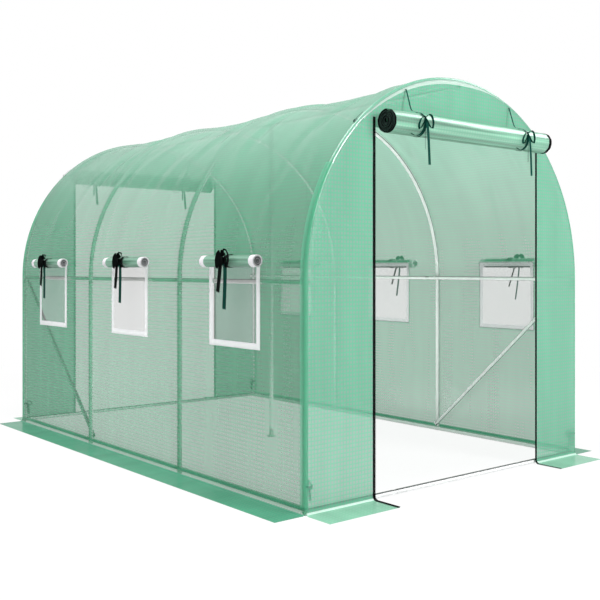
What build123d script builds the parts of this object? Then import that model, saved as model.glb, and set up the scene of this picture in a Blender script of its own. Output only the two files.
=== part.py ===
from build123d import *
import os
from math import asin, cos, degrees, hypot, radians, sin

# Walk-in polytunnel greenhouse: a tube frame of round hoops under a cover of woven film.
# X runs to the right seen from the front, Y to the rear, Z up.
# The origin is on the ground in the middle of the footprint. All lengths are in millimetres.

# Overall sizes
tunnel_width = 2000
wall_height = 1000
bay_length = 1016
bay_count = 3

# Flat sides that a tube and a roll have, and how many of them make a quarter bend of the film
tube_sides = 12
roll_sides = 16
bend_facets = tube_sides // 4

# Clearance between pieces that rest on each other, and how far a cut runs past its wall
seat = 0.3
overrun = 40

# Frame tubes
hoop_tube = 25
rail_tube = 22
brace_tube = 22
purlin_drop = 4
base_rail_height = 15
pole_tube = 25
pole_foot_diameter = 52
pole_foot_thickness = 6

# Film cover
film = 3
fold_radius = 20
skirt_width = 160
wall_arc_angle = 14
roof_strips = 6

# Doorways, their zips and the rolled-up doors
door_width = 1200
front_door_shift = 16
lunette_height = 300
zip_width = 14
zip_rise = 47
zip_thickness = 1.5
door_roll_diameter = 112
door_roll_inset = 12
door_roll_lift = 25

# Windows and their rolled-up flaps
window_width = 416
window_height = 416
window_drop = 315
right_window_shift = -32
window_border = 29
border_thickness = 2
net_thickness = 1
window_roll_diameter = 60
window_roll_overhang = 12
window_roll_shift = -10
window_roll_drop = 9

# Tie ribbons
ribbon_thickness = 1.5
door_ribbon_width = 10
door_tie_spacing = 770
door_tie_strap = 147
door_tie_tail = 190
window_ribbon_width = 25
window_tie_long_tail = 225
window_tie_short_tail = 146

# Places that follow from the sizes
film_radius = tunnel_width / 2
film_inner = film_radius - film
wrap_radius = hoop_tube / 2 + seat + film
hoop_radius = film_radius - wrap_radius
frame_end = bay_count * bay_length / 2
end_face = frame_end + wrap_radius
hoop_places = [bay * bay_length - frame_end for bay in range(bay_count + 1)]
window_places = [(bay + 0.5) * bay_length - frame_end for bay in range(bay_count)]
rail_radius = hoop_radius - hoop_tube / 2 - seat - rail_tube / 2
purlin_height = wall_height - purlin_drop
ridge_height = wall_height + rail_radius
film_foot = film + fold_radius
door_top = wall_height + film_radius - lunette_height
arch_axis = Axis((0, 0, wall_height), (0, -1, 0))
sides = (("left", -1), ("right", 1))
window_sides = (("left", -1, 0), ("right", 1, right_window_shift))
ends = (("front", -1, front_door_shift), ("rear", 1, 0))

os.makedirs("parts", exist_ok=True)


def arch_plane(angle):
    """The plane through the tunnel's axis at this angle above the right wall: radius across, length up."""
    across = (cos(radians(angle)), 0, sin(radians(angle)))
    normal = (-sin(radians(angle)), 0, cos(radians(angle)))
    return Plane(origin=(0, 0, wall_height), x_dir=across, z_dir=normal)


def outward_plane(place, outward):
    """An upright plane on the ground at this place: outward across, height up."""
    normal = Vector(outward).cross(Vector(0, 0, 1))
    return Plane(origin=place, x_dir=outward, z_dir=normal)


def quarter_bend(centre_x, centre_y, radius, start_angle):
    """The corners of a quarter turn made of flat facets."""
    angles = [radians(start_angle + 90 * facet / bend_facets) for facet in range(bend_facets + 1)]
    return [(centre_x + radius * cos(angle), centre_y + radius * sin(angle)) for angle in angles]


def film_section():
    """The film cut along the tunnel: straight from end hoop to end hoop, and wrapped round both of them."""
    with BuildSketch() as section:
        with BuildLine():
            for end, start_angle in ((-frame_end, 270), (frame_end, 0)):
                Polyline(*quarter_bend(hoop_radius, end, wrap_radius, start_angle))
                Polyline(*quarter_bend(hoop_radius, end, wrap_radius - film, start_angle))
            Line((film_radius, -frame_end), (film_radius, frame_end))
            Line((film_inner, -frame_end), (film_inner, frame_end))
            Line((hoop_radius, end_face), (hoop_radius, end_face - film))
            Line((hoop_radius, -end_face), (hoop_radius, film - end_face))
        make_face()
    return section.sketch


def fold_section(low, high, top):
    """A strip between two distances off the film's face: down the wall, round the fold, out on the skirt."""
    with BuildSketch() as section:
        with BuildLine():
            Polyline(*quarter_bend(fold_radius, film_foot, fold_radius - low, 180))
            Polyline(*quarter_bend(fold_radius, film_foot, fold_radius - high, 180))
            Line((fold_radius, film + low), (skirt_width, film + low))
            Line((skirt_width, film + low), (skirt_width, film + high))
            Line((skirt_width, film + high), (fold_radius, film + high))
            if top > film_foot:
                Line((low, film_foot), (low, top))
                Line((high, film_foot), (high, top))
            Line((low, top), (high, top))
        make_face()
    return section.sketch


# Hoops: straight legs that stand on the ground, and a half round on top of each pair
for side, sign in sides:
    with BuildPart() as legs:
        with BuildSketch():
            with Locations(*[(sign * hoop_radius, place) for place in hoop_places]):
                RegularPolygon(hoop_tube / 2, tube_sides)
        extrude(amount=wall_height)
    legs.part.label = f"{side}_hoop_legs"
    export_step(legs.part, f"parts/{side}_hoop_legs.step")

hoop_names = ["front_hoop_arch"]
hoop_names += ["front_middle_hoop_arch", "rear_middle_hoop_arch", "rear_hoop_arch"]
for hoop_name, place in zip(hoop_names, hoop_places):
    with BuildPart() as arch:
        with BuildSketch(Plane.XY.offset(wall_height)):
            with Locations((hoop_radius, place)):
                RegularPolygon(hoop_tube / 2, tube_sides)
        revolve(axis=arch_axis, revolution_arc=180)
    arch.part.label = hoop_name
    export_step(arch.part, f"parts/{hoop_name}.step")

# Long rails: the ridge and the purlins pass inside all the hoops and are bolted to them
with BuildPart() as ridge:
    with BuildSketch(Plane.XZ):
        with Locations((0, ridge_height)):
            RegularPolygon(rail_tube / 2, tube_sides)
    extrude(amount=frame_end + hoop_tube / 2, both=True)
ridge.part.label = "ridge_pole"
export_step(ridge.part, "parts/ridge_pole.step")

with BuildPart() as purlins:
    with BuildSketch(Plane.XZ):
        with Locations((-rail_radius, purlin_height), (rail_radius, purlin_height)):
            RegularPolygon(rail_tube / 2, tube_sides)
    extrude(amount=frame_end + hoop_tube / 2, both=True)
purlins.part.label = "side_purlins"
export_step(purlins.part, "parts/side_purlins.step")

# Base rails: the end rails lie between the end legs, the side rails run between the end rails
with BuildPart() as side_rails:
    with BuildSketch(Plane.XZ):
        with Locations((-rail_radius, base_rail_height), (rail_radius, base_rail_height)):
            RegularPolygon(rail_tube / 2, tube_sides)
    extrude(amount=frame_end - rail_tube / 2 - seat, both=True)
side_rails.part.label = "side_base_rails"
export_step(side_rails.part, "parts/side_base_rails.step")

with BuildPart() as end_rails:
    with BuildSketch(Plane.YZ):
        with Locations((-frame_end, base_rail_height), (frame_end, base_rail_height)):
            RegularPolygon(rail_tube / 2, tube_sides)
    extrude(amount=hoop_radius - hoop_tube / 2 - seat, both=True)
end_rails.part.label = "end_base_rails"
export_step(end_rails.part, "parts/end_base_rails.step")

# Braces: from the foot of the second hoop up to the end hoop, under the purlin, in two opposite bays
brace_x = hoop_radius - hoop_tube / 2 - seat - brace_tube / 2
brace_low = base_rail_height + (rail_tube + brace_tube) / 2 + seat
brace_high = purlin_height - (rail_tube + brace_tube) / 2 - seat
with BuildPart() as braces:
    for sign, foot, head in ((1, hoop_places[1], hoop_places[0]), (-1, hoop_places[-2], hoop_places[-1])):
        along = (0, head - foot, brace_high - brace_low)
        with BuildSketch(Plane(origin=(sign * brace_x, foot, brace_low), x_dir=(1, 0, 0), z_dir=along)):
            RegularPolygon(brace_tube / 2, tube_sides)
        extrude(amount=hypot(head - foot, brace_high - brace_low))
braces.part.label = "diagonal_braces"
export_step(braces.part, "parts/diagonal_braces.step")

# Centre pole: a round foot and an upright that carries the ridge
with BuildPart() as pole:
    with BuildSketch():
        RegularPolygon(pole_foot_diameter / 2, tube_sides)
    extrude(amount=pole_foot_thickness)
    with BuildSketch():
        RegularPolygon(pole_tube / 2, tube_sides)
    extrude(amount=ridge_height - rail_tube / 2 - seat)
pole.part.label = "centre_pole"
export_step(pole.part, "parts/centre_pole.step")

# Side walls: upright film that starts into the arch, with the window openings cut through
window_sill = wall_height - window_drop
window_top = window_sill + window_height
window_middle = (window_sill + window_top) / 2
opening_width = window_width - 2 * window_border
opening_height = window_height - 2 * window_border
for side, sign, window_shift in window_sides:
    wall_plane = Plane(origin=(0, 0, wall_height), x_dir=(sign, 0, 0), z_dir=(0, 0, 1))
    wall_axis = Axis((0, 0, wall_height), (0, -sign, 0))
    window_centres = [(place + window_shift, window_middle) for place in window_places]
    with BuildPart() as wall:
        with BuildSketch(wall_plane):
            add(film_section())
        extrude(amount=film_foot - wall_height)
        with BuildSketch(wall_plane):
            add(film_section())
        revolve(axis=wall_axis, revolution_arc=wall_arc_angle)
        with BuildSketch(Plane.YZ.offset(sign * (film_radius - overrun))):
            with Locations(*window_centres):
                Rectangle(opening_width, opening_height)
        extrude(amount=sign * 2 * overrun, mode=Mode.SUBTRACT)
    wall.part.label = f"{side}_wall_film"
    export_step(wall.part, f"parts/{side}_wall_film.step")

# Roof: strips of the barrel from the right wall over the crown to the left wall
strip_angle = (180 - 2 * wall_arc_angle) / roof_strips
for strip in range(roof_strips):
    with BuildPart() as roof:
        with BuildSketch(arch_plane(wall_arc_angle + strip * strip_angle)):
            add(film_section())
        revolve(axis=arch_axis, revolution_arc=strip_angle)
    roof.part.label = f"roof_film_{strip + 1}"
    export_step(roof.part, f"parts/roof_film_{strip + 1}.step")

# End walls: flat film inside the wrapped rim, beside and over the doorway
panel_edge = hoop_radius - seat
with BuildSketch() as end_outline:
    with BuildLine():
        Line((-panel_edge, film_foot), (panel_edge, film_foot))
        Line((panel_edge, film_foot), (panel_edge, wall_height))
        CenterArc((0, wall_height), panel_edge, 0, 180)
        Line((-panel_edge, wall_height), (-panel_edge, film_foot))
    make_face()

crown = wall_height + film_radius
for end, facing, door_shift in ends:
    end_plane = Plane(origin=(0, facing * (end_face - film), 0), x_dir=(1, 0, 0), z_dir=(0, -1, 0))
    for side, sign in sides:
        with BuildPart() as panel:
            with BuildSketch(end_plane):
                add(end_outline.sketch)
                with Locations((door_shift + sign * (door_width + tunnel_width) / 2, crown / 2)):
                    Rectangle(tunnel_width, crown, mode=Mode.INTERSECT)
            extrude(amount=-facing * film)
        panel.part.label = f"{end}_wall_{side}"
        export_step(panel.part, f"parts/{end}_wall_{side}.step")
    with BuildPart() as lunette:
        with BuildSketch(end_plane):
            add(end_outline.sketch)
            with Locations((door_shift, (door_top + crown) / 2)):
                Rectangle(door_width, crown - door_top, mode=Mode.INTERSECT)
        extrude(amount=-facing * film)
    lunette.part.label = f"{end}_wall_top"
    export_step(lunette.part, f"parts/{end}_wall_top.step")

# Skirts: the film turns outward at the ground and lies flat, in square-ended strips
skirt_face = fold_section(-film, 0, film_foot)
for side, sign in sides:
    with BuildPart() as skirt:
        with BuildSketch(outward_plane((sign * film_radius, 0, 0), (sign, 0, 0))):
            add(skirt_face)
        extrude(amount=end_face, both=True)
    skirt.part.label = f"{side}_skirt"
    export_step(skirt.part, f"parts/{side}_skirt.step")

skirt_end = film_inner - seat
for end, facing, door_shift in ends:
    with BuildPart() as skirts:
        for side, sign in sides:
            skirt_start = door_width / 2 + sign * door_shift
            middle = sign * (skirt_start + skirt_end) / 2
            with BuildSketch(outward_plane((middle, facing * end_face, 0), (0, facing, 0))):
                add(skirt_face)
            extrude(amount=(skirt_end - skirt_start) / 2, both=True)
    skirts.part.label = f"{end}_skirts"
    export_step(skirts.part, f"parts/{end}_skirts.step")

# Zips: a tape from beside the roll down each edge of a doorway, round the fold and out along the skirt
zip_face = fold_section(seat, seat + zip_thickness, door_top + zip_rise)
with BuildPart() as zips:
    for end, facing, door_shift in ends:
        for side, sign in sides:
            zip_x = door_shift + sign * (door_width + zip_width) / 2
            with BuildSketch(outward_plane((zip_x, facing * end_face, 0), (0, facing, 0))):
                add(zip_face)
    extrude(amount=zip_width / 2, both=True)
zips.part.label = "door_zips"
export_step(zips.part, "parts/door_zips.step")

# Door rolls and their ties: a ribbon from the end wall goes round the roll and hangs down in front
door_roll_radius = door_roll_diameter / 2
door_roll_y = end_face + ribbon_thickness + 2 * seat + door_roll_radius
door_roll_z = door_top + door_roll_lift
door_roll_half = door_width / 2 - door_roll_inset
door_loop = door_roll_radius + seat
for end, facing, door_shift in ends:
    with BuildPart() as door_roll:
        with BuildSketch(Plane.YZ.offset(door_shift)):
            with Locations((facing * door_roll_y, door_roll_z)):
                RegularPolygon(door_roll_radius, roll_sides)
        extrude(amount=door_roll_half, both=True)
    door_roll.part.label = f"{end}_door_roll"
    export_step(door_roll.part, f"parts/{end}_door_roll.step")

    with BuildPart() as door_ties:
        for side, sign in sides:
            with BuildSketch(Plane.YZ.offset(door_shift + sign * door_tie_spacing / 2)):
                with Locations((facing * door_roll_y, door_roll_z)):
                    RegularPolygon(door_loop + ribbon_thickness, roll_sides)
                    RegularPolygon(door_loop, roll_sides, mode=Mode.SUBTRACT)
                strap_y = facing * (door_roll_y - door_loop - ribbon_thickness / 2)
                with Locations((strap_y, door_roll_z + door_tie_strap / 2)):
                    Rectangle(ribbon_thickness, door_tie_strap)
                tail_y = facing * (door_roll_y + door_loop + ribbon_thickness / 2)
                with Locations((tail_y, door_roll_z - door_tie_tail / 2)):
                    Rectangle(ribbon_thickness, door_tie_tail)
        extrude(amount=door_ribbon_width / 2, both=True)
    door_ties.part.label = f"{end}_door_ties"
    export_step(door_ties.part, f"parts/{end}_door_ties.step")

# Window pieces: a border on the film, netting in the opening, and the flap rolled up over it in its tie
border_face = film_radius + seat
border_top_angle = degrees(asin((window_top - wall_height) / film_radius))
net_middle = film_radius - film / 2
net_drop = wall_height - window_sill - window_border - seat
net_top_angle = degrees(asin((window_top - window_border - seat - wall_height) / film_radius))
window_roll_radius = window_roll_diameter / 2
window_loop = window_roll_radius + seat
roll_orbit = border_face + border_thickness + ribbon_thickness + 2 * seat + window_roll_radius
roll_angle = asin((window_top - window_roll_drop - wall_height) / roll_orbit)
roll_z = wall_height + roll_orbit * sin(roll_angle)
for side, sign, window_shift in window_sides:
    wall_plane = Plane(origin=(0, 0, wall_height), x_dir=(sign, 0, 0), z_dir=(0, 0, 1))
    wall_axis = Axis((0, 0, wall_height), (0, -sign, 0))
    roll_x = sign * roll_orbit * cos(roll_angle)
    places = [place + window_shift for place in window_places]

    with BuildPart() as borders:
        for pull, turn in ((window_sill - wall_height, 0), (0, border_top_angle)):
            with BuildSketch(wall_plane):
                with Locations(*[(border_face + border_thickness / 2, place) for place in places]):
                    Rectangle(border_thickness, window_width)
            if pull:
                extrude(amount=pull)
            if turn:
                revolve(axis=wall_axis, revolution_arc=turn)
        with BuildSketch(Plane.YZ.offset(sign * (film_radius - overrun))):
            with Locations(*[(place, window_middle) for place in places]):
                Rectangle(opening_width, opening_height)
        extrude(amount=sign * 2 * overrun, mode=Mode.SUBTRACT)
    borders.part.label = f"{side}_window_borders"
    export_step(borders.part, f"parts/{side}_window_borders.step")

    with BuildPart() as nets:
        for pull, turn in ((-net_drop, 0), (0, net_top_angle)):
            with BuildSketch(wall_plane):
                with Locations(*[(net_middle, place) for place in places]):
                    Rectangle(net_thickness, opening_width - 2 * seat)
            if pull:
                extrude(amount=pull)
            if turn:
                revolve(axis=wall_axis, revolution_arc=turn)
    nets.part.label = f"{side}_window_nets"
    export_step(nets.part, f"parts/{side}_window_nets.step")

    with BuildPart() as rolls:
        for place in places:
            with BuildSketch(Plane.XZ.offset(-place - window_roll_shift)):
                with Locations((roll_x, roll_z)):
                    RegularPolygon(window_roll_radius, roll_sides)
        extrude(amount=window_width / 2 + window_roll_overhang, both=True)
    rolls.part.label = f"{side}_window_rolls"
    export_step(rolls.part, f"parts/{side}_window_rolls.step")

    tail_x = roll_x + sign * (window_loop + ribbon_thickness / 2)
    with BuildPart() as window_ties:
        for place in places:
            with BuildSketch(Plane.XZ.offset(-place)):
                with Locations((roll_x, roll_z)):
                    RegularPolygon(window_loop + ribbon_thickness, roll_sides)
                    RegularPolygon(window_loop, roll_sides, mode=Mode.SUBTRACT)
            extrude(amount=window_ribbon_width / 2, both=True)
            for tail, reach in ((window_tie_long_tail, -1), (window_tie_short_tail, 1)):
                with BuildSketch(Plane.XZ.offset(-place)):
                    with Locations((tail_x, roll_z - tail / 2)):
                        Rectangle(ribbon_thickness, tail)
                extrude(amount=reach * window_ribbon_width / 2)
    window_ties.part.label = f"{side}_window_ties"
    export_step(window_ties.part, f"parts/{side}_window_ties.step")
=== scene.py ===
# %% [markdown]
# A garden polytunnel is a row of bent steel tubes with a large sheet of woven film pulled over them.
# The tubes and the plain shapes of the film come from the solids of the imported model.
# They are loaded first and never moved, so each piece made below goes straight to its real place.

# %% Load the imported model
import math

import bmesh
import bpy
import numpy as np
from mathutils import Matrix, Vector


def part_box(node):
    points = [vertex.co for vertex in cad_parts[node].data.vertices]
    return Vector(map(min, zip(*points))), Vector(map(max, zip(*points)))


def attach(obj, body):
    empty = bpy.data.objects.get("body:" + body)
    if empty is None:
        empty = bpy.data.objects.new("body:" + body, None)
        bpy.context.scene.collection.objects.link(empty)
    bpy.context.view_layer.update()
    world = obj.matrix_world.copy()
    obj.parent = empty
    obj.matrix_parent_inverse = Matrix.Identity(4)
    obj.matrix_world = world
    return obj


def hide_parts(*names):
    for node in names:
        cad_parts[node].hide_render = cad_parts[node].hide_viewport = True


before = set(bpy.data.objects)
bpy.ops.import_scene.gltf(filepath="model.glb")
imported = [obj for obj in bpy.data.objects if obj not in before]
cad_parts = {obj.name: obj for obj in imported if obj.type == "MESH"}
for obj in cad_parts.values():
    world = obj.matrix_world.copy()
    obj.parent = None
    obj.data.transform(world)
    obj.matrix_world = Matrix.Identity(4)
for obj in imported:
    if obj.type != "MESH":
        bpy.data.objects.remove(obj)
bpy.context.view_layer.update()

# %% [markdown]
# Every size used below could be typed in again, but then it could drift away from the solids.
# Instead the sizes are read back from the boxes of the solids: the legs give the tube and the bays,
# the wall gives the film, and the borders give the windows. All lengths are in metres.

# %% Read the sizes from the solids
X, Y, Z = range(3)


def middle_of(node, axis):
    """The middle of a solid's box on one axis."""
    low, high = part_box(node)
    return (low[axis] + high[axis]) / 2


def half_of(node, axis):
    """Half the size of a solid's box on one axis."""
    low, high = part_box(node)
    return (high[axis] - low[axis]) / 2


hoop_tube = 2 * half_of("left_hoop_legs", X)
hoop_radius = -middle_of("left_hoop_legs", X)
leg_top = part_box("left_hoop_legs")[1]
wall_height = leg_top[Z]
frame_end = leg_top[Y] - hoop_tube / 2
bay_count = 3
bay_length = 2 * frame_end / bay_count
hoop_places = [bay * bay_length - frame_end for bay in range(bay_count + 1)]

wall_low, wall_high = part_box("left_wall_film")
film_outer = -wall_low[X]
film_foot = wall_low[Z]
end_face = wall_high[Y]
film = 2 * half_of("front_wall_top", Y)
door_half = half_of("front_wall_top", X)
door_middles = {"front": middle_of("front_wall_top", X), "rear": 0.0}
door_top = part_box("front_wall_top")[0][Z]
fold_radius = film_foot - film
skirt_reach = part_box("right_skirt")[1][X]
end_skirt_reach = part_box("rear_skirts")[1][Y]

sides = (("left", -1), ("right", 1))
ends = (("front", -1), ("rear", 1))
window_places = {}
for side_name, side in sides:
    middle_window = middle_of(f"{side_name}_window_borders", Y)
    window_places[side_name] = [middle_window + step * bay_length for step in (-1, 0, 1)]
window_sill, window_top = (corner[Z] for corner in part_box("right_window_borders"))
window_half = half_of("right_window_borders", Y) - bay_length
window_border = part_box("left_window_nets")[0][Z] - window_sill
print(f"hoop tube {hoop_tube:.4f}, hoop radius {hoop_radius:.4f}, bay {bay_length:.3f}, film {film:.4f}")
print(f"door {2 * door_half:.3f} wide, {door_top:.3f} high")
print(f"window {2 * window_half:.3f} wide, border {window_border:.3f}")

# %% [markdown]
# The camera stands low in front of the left corner, level, at about chest height.
# A level camera keeps uprights upright, and a small shift of the lens moves the picture down
# without tilting it. The place and lens were fitted to the corners, hoop feet and rims of the tunnel.

# %% Place the camera
scene = bpy.context.scene
camera_data = bpy.data.cameras.new("studio_camera")
camera_data.sensor_width = 36
camera_data.lens = 53.57
camera_data.shift_y = -0.0517
camera = bpy.data.objects.new("studio_camera", camera_data)
camera.location = (-3.4202, -4.4698, 1.0541)
camera.rotation_euler = (math.radians(90), 0, math.radians(-39.26))
scene.collection.objects.link(camera)
scene.camera = camera
print("camera", [round(value, 3) for value in camera.location], "lens", camera_data.lens)

# %% [markdown]
# Materials are small networks of nodes. Writing them line by line is long, so a few helpers keep
# them readable: they add a node and set its sockets, start an empty material, do a sum or blend colours.
# A socket given a number keeps it as a constant, and a socket given another socket is linked.

# %% Helpers for materials
def add_node(tree, kind, settings=None, **sockets):
    """One node with its settings, and its input sockets set to constants or linked to other sockets."""
    node = tree.nodes.new(kind)
    for name, value in (settings or {}).items():
        setattr(node, name, value)
    for name, value in sockets.items():
        place = int(name[1:]) if name[0] == "i" and name[1:].isdigit() else name.replace("_", " ")
        socket = node.inputs[place]
        if isinstance(value, bpy.types.NodeSocket):
            tree.links.new(value, socket)
        else:
            socket.default_value = value
    return node


def start_material(name):
    """An empty material: its node tree and its output."""
    material = bpy.data.materials.new(name)
    material.use_nodes = True
    tree = material.node_tree
    tree.nodes.clear()
    return material, tree, tree.nodes.new("ShaderNodeOutputMaterial")


def maths(tree, operation, first, second=0.0, third=0.0):
    """The result of one sum on sockets or numbers."""
    node = add_node(tree, "ShaderNodeMath", {"operation": operation}, i0=first, i1=second, i2=third)
    return node.outputs[0]


def blend_colours(tree, share, first, second):
    """The colour between two colours at this share."""
    node = add_node(tree, "ShaderNodeMix", {"data_type": "RGBA"}, i0=share, i6=first, i7=second)
    return node.outputs[2]


print("material helpers ready")

# %% [markdown]
# A studio with a white floor that runs into a white background has no visible horizon.
# One way is to flood the object with light until the floor burns out, which also bleaches the film.
# Here the floor and the world show white only to the camera and to mirror-like rays, and they light
# the film at a plain level. The floor keeps a share of ordinary white paint, so the shadow stays.
# Five large soft lamps stand round the tunnel, and a weak one on the ground inside stands for the light
# that a real floor throws back up.

# %% Floor, world and lamps
def seen_directly(tree):
    """1 for rays that come from the camera, a gloss or a clear body, 0 for the light's own rays."""
    path = tree.nodes.new("ShaderNodeLightPath")
    shiny = maths(tree, "MAXIMUM", path.outputs["Is Glossy Ray"], path.outputs["Is Transmission Ray"])
    return maths(tree, "MAXIMUM", path.outputs["Is Camera Ray"], shiny)


def white_world(fill_strength):
    """A white background to the eye that lights the scene with this strength."""
    world = bpy.data.worlds.new("studio_world")
    world.use_nodes = True
    tree = world.node_tree
    tree.nodes.clear()
    fill = add_node(tree, "ShaderNodeBackground", Color=(1, 1, 1, 1), Strength=fill_strength)
    white = add_node(tree, "ShaderNodeBackground", Color=(1, 1, 1, 1), Strength=1.0)
    mixed = add_node(tree, "ShaderNodeMixShader", i0=seen_directly(tree), i1=fill.outputs[0],
                     i2=white.outputs[0])
    add_node(tree, "ShaderNodeOutputWorld", Surface=mixed.outputs[0])
    return world


def floor_paint(white_share, near, far):
    """Pale floor paint that glows white to the eye by this share near the tunnel, and wholly far from it."""
    material, tree, output = start_material("studio_floor")
    place = tree.nodes.new("ShaderNodeTexCoord")
    away = add_node(tree, "ShaderNodeVectorMath", {"operation": "LENGTH"}, i0=place.outputs["Object"])
    white = add_node(tree, "ShaderNodeMapRange", {"interpolation_type": "SMOOTHSTEP"},
                     i0=away.outputs["Value"], i1=near, i2=far, i3=white_share, i4=1.0)
    paint = add_node(tree, "ShaderNodeBsdfDiffuse", Color=(0.86, 0.86, 0.86, 1))
    glow = add_node(tree, "ShaderNodeEmission", Color=(1, 1, 1, 1), Strength=1.0)
    share = maths(tree, "MULTIPLY", seen_directly(tree), white.outputs[0])
    mixed = add_node(tree, "ShaderNodeMixShader", i0=share, i1=paint.outputs[0], i2=glow.outputs[0])
    tree.links.new(mixed.outputs[0], output.inputs["Surface"])
    return material


def soft_lamp(name, place, aim, size, power):
    """A round soft lamp at this place that looks at the aim."""
    lamp_data = bpy.data.lights.new(name, "AREA")
    lamp_data.shape = "DISK"
    lamp_data.size = size
    lamp_data.energy = power
    lamp = bpy.data.objects.new(name, lamp_data)
    lamp.location = place
    lamp.rotation_euler = (Vector(aim) - Vector(place)).to_track_quat("-Z", "Y").to_euler()
    scene.collection.objects.link(lamp)
    return lamp


scene.view_settings.view_transform = "Standard"
scene.world = white_world(fill_strength=0.3)
floor_half = 30
floor_mesh = bpy.data.meshes.new("studio_floor")
floor_corners = [(x * floor_half, y * floor_half, 0) for x, y in ((-1, -1), (1, -1), (1, 1), (-1, 1))]
floor_mesh.from_pydata(floor_corners, [], [(0, 1, 2, 3)])
floor = bpy.data.objects.new("studio_floor", floor_mesh)
floor.data.materials.append(floor_paint(white_share=0.87, near=2.2, far=5.0))
scene.collection.objects.link(floor)
soft_lamp("key_lamp", (1.8, -7.6, 3.6), (0, -0.5, 0.9), 3.0, 560)
soft_lamp("roof_lamp", (-2.0, -1.0, 7.0), (0, 0, 1.0), 4.0, 440)
soft_lamp("left_lamp", (-4.5, 0.4, 6.0), (-0.5, 0, 1.2), 3.0, 135)
soft_lamp("right_lamp", (4.0, -2.2, 5.0), (0, -1.2, 1.4), 2.4, 100)
soft_lamp("rear_lamp", (0.3, 4.2, 5.4), (0, 0.3, 1.2), 5.0, 25)
inner_lamp = soft_lamp("inner_lamp", (0, 0, 0.05), (0, 0, 1.0), 1.4, 11)
inner_lamp.visible_camera = False

# %% [markdown]
# Film, netting, ribbon and tube are all made as grids of points: rows along the piece, columns
# across it. Blender's own grids and curves would each need their own shaping afterwards, while one
# small bench that takes any grid, with its flat cloth measure, serves every piece in this lesson.

# %% A bench that turns grids of points into pieces
class Bench:
    """Collects grids of points and makes one piece of them."""

    def __init__(self):
        self.points = []
        self.cloth = []
        self.faces = []
        self.finish = []
        self.count = 0

    def lay(self, points, cloth=None, finish=0, kept=None, ring=False, capped=False):
        """Adds a grid of points (rows, columns, 3). A ring closes across, and kept drops some cells."""
        rows, columns = points.shape[:2]
        number = self.count + np.arange(rows * columns).reshape(rows, columns)
        if ring:
            number = np.concatenate([number, number[:, :1]], axis=1)
        cells = np.stack([number[:-1, :-1], number[:-1, 1:], number[1:, 1:], number[1:, :-1]], axis=-1)
        chosen = np.ones(cells.shape[:2], bool) if kept is None else kept
        finishes = np.broadcast_to(finish, cells.shape[:2])
        self.faces += cells[chosen].tolist()
        self.finish += finishes[chosen].tolist()
        if capped:
            self.faces += [number[0, :columns][::-1].tolist(), number[-1, :columns].tolist()]
            self.finish += [int(finishes[0, 0]), int(finishes[-1, 0])]
        self.points.append(points.reshape(-1, 3))
        flat = np.zeros((rows, columns, 2)) if cloth is None else cloth
        self.cloth.append(flat.reshape(-1, 2))
        self.count += rows * columns

    def piece(self, name, finishes, stands_for=()):
        """One smooth-shaded mesh piece with these finishes that rides on the tunnel and hides the parts it
        stands for.
        """
        mesh = bpy.data.meshes.new(name)
        mesh.from_pydata(np.concatenate(self.points).tolist(), [], self.faces)
        layer = mesh.uv_layers.new(name="cloth")
        corners = np.empty(len(mesh.loops), np.int32)
        mesh.loops.foreach_get("vertex_index", corners)
        layer.data.foreach_set("uv", np.concatenate(self.cloth)[corners].astype(np.float32).ravel())
        for finish in finishes:
            mesh.materials.append(finish)
        mesh.polygons.foreach_set("material_index", np.array(self.finish, np.int32))
        mesh.polygons.foreach_set("use_smooth", np.ones(len(mesh.polygons), bool))
        used = np.unique(corners)
        if len(used) < len(mesh.vertices):
            drop_loose_points(mesh)
        mesh.update()
        thing = bpy.data.objects.new(name, mesh)
        scene.collection.objects.link(thing)
        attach(thing, "root")
        if stands_for:
            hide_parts(*stands_for)
        print(f"{name}: {len(mesh.vertices)} points, {len(mesh.polygons)} faces")
        return thing


def drop_loose_points(mesh):
    """Removes the points that no face uses, such as those inside a window."""
    work = bmesh.new()
    work.from_mesh(mesh)
    bmesh.ops.delete(work, geom=[point for point in work.verts if not point.link_faces], context="VERTS")
    work.to_mesh(mesh)
    work.free()


def stations(breaks, pitch):
    """Places along a line: every break, and even steps no longer than the pitch between them."""
    places = [breaks[0]]
    for start, end in zip(breaks, breaks[1:]):
        steps = max(1, math.ceil((end - start) / pitch - 1e-6))
        places += [start + (end - start) * step / steps for step in range(1, steps + 1)]
    return np.array(places)


def ease(share):
    """A smooth step from 0 to 1."""
    share = np.clip(share, 0, 1)
    return share * share * (3 - 2 * share)


print("bench ready")

# %% [markdown]
# The cover is woven film: green threads laid on a square grid between two clear layers. Up close the
# threads are a stronger green and the cells between them are clearer and greyer. An image could show
# this, but a pattern worked out from the cloth's own measure needs no file and has the same pitch on
# every piece. The threads rise softly, because hard thin lines would flicker from afar.
# Each point is partly clear, partly lit from its own side and partly lit through from the other side.
# On the ground no light comes from below, and in a roll many layers lie on each other, so these two
# kinds let less light through. The film on the ground also carries painted light: a darker green on
# the side skirts for shade, a lighter green on the end skirts for light. A little dust lies on the
# crown of the roof. Over the rim the film has a gloss coat, and a narrow band there and a strip along
# the fold of each end wall are pale: painted highlight. Over the legs of the end hoops the film is a
# deeper green: painted shade of the leg behind it.

# %% Woven film finish
thread_pitch = 0.0185
thread_slimness = 5
thread_rise = 0.04
gloss_spread = 0.14
light_through = 0.42
clear_tint = (0.95, 0.95, 0.95, 1)
dust_tone = (0.23, 0.44, 0.345, 1)
dust_cover = 0.27
dust_reach = (0.7, 1.4)


def cloth_measure(tree):
    """The cloth's own measure in metres: both ways together, then each of them."""
    cloth = add_node(tree, "ShaderNodeUVMap", {"uv_map": "cloth"})
    parts = add_node(tree, "ShaderNodeSeparateXYZ", Vector=cloth.outputs[0])
    return cloth.outputs[0], parts.outputs[0], parts.outputs[1]


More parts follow.
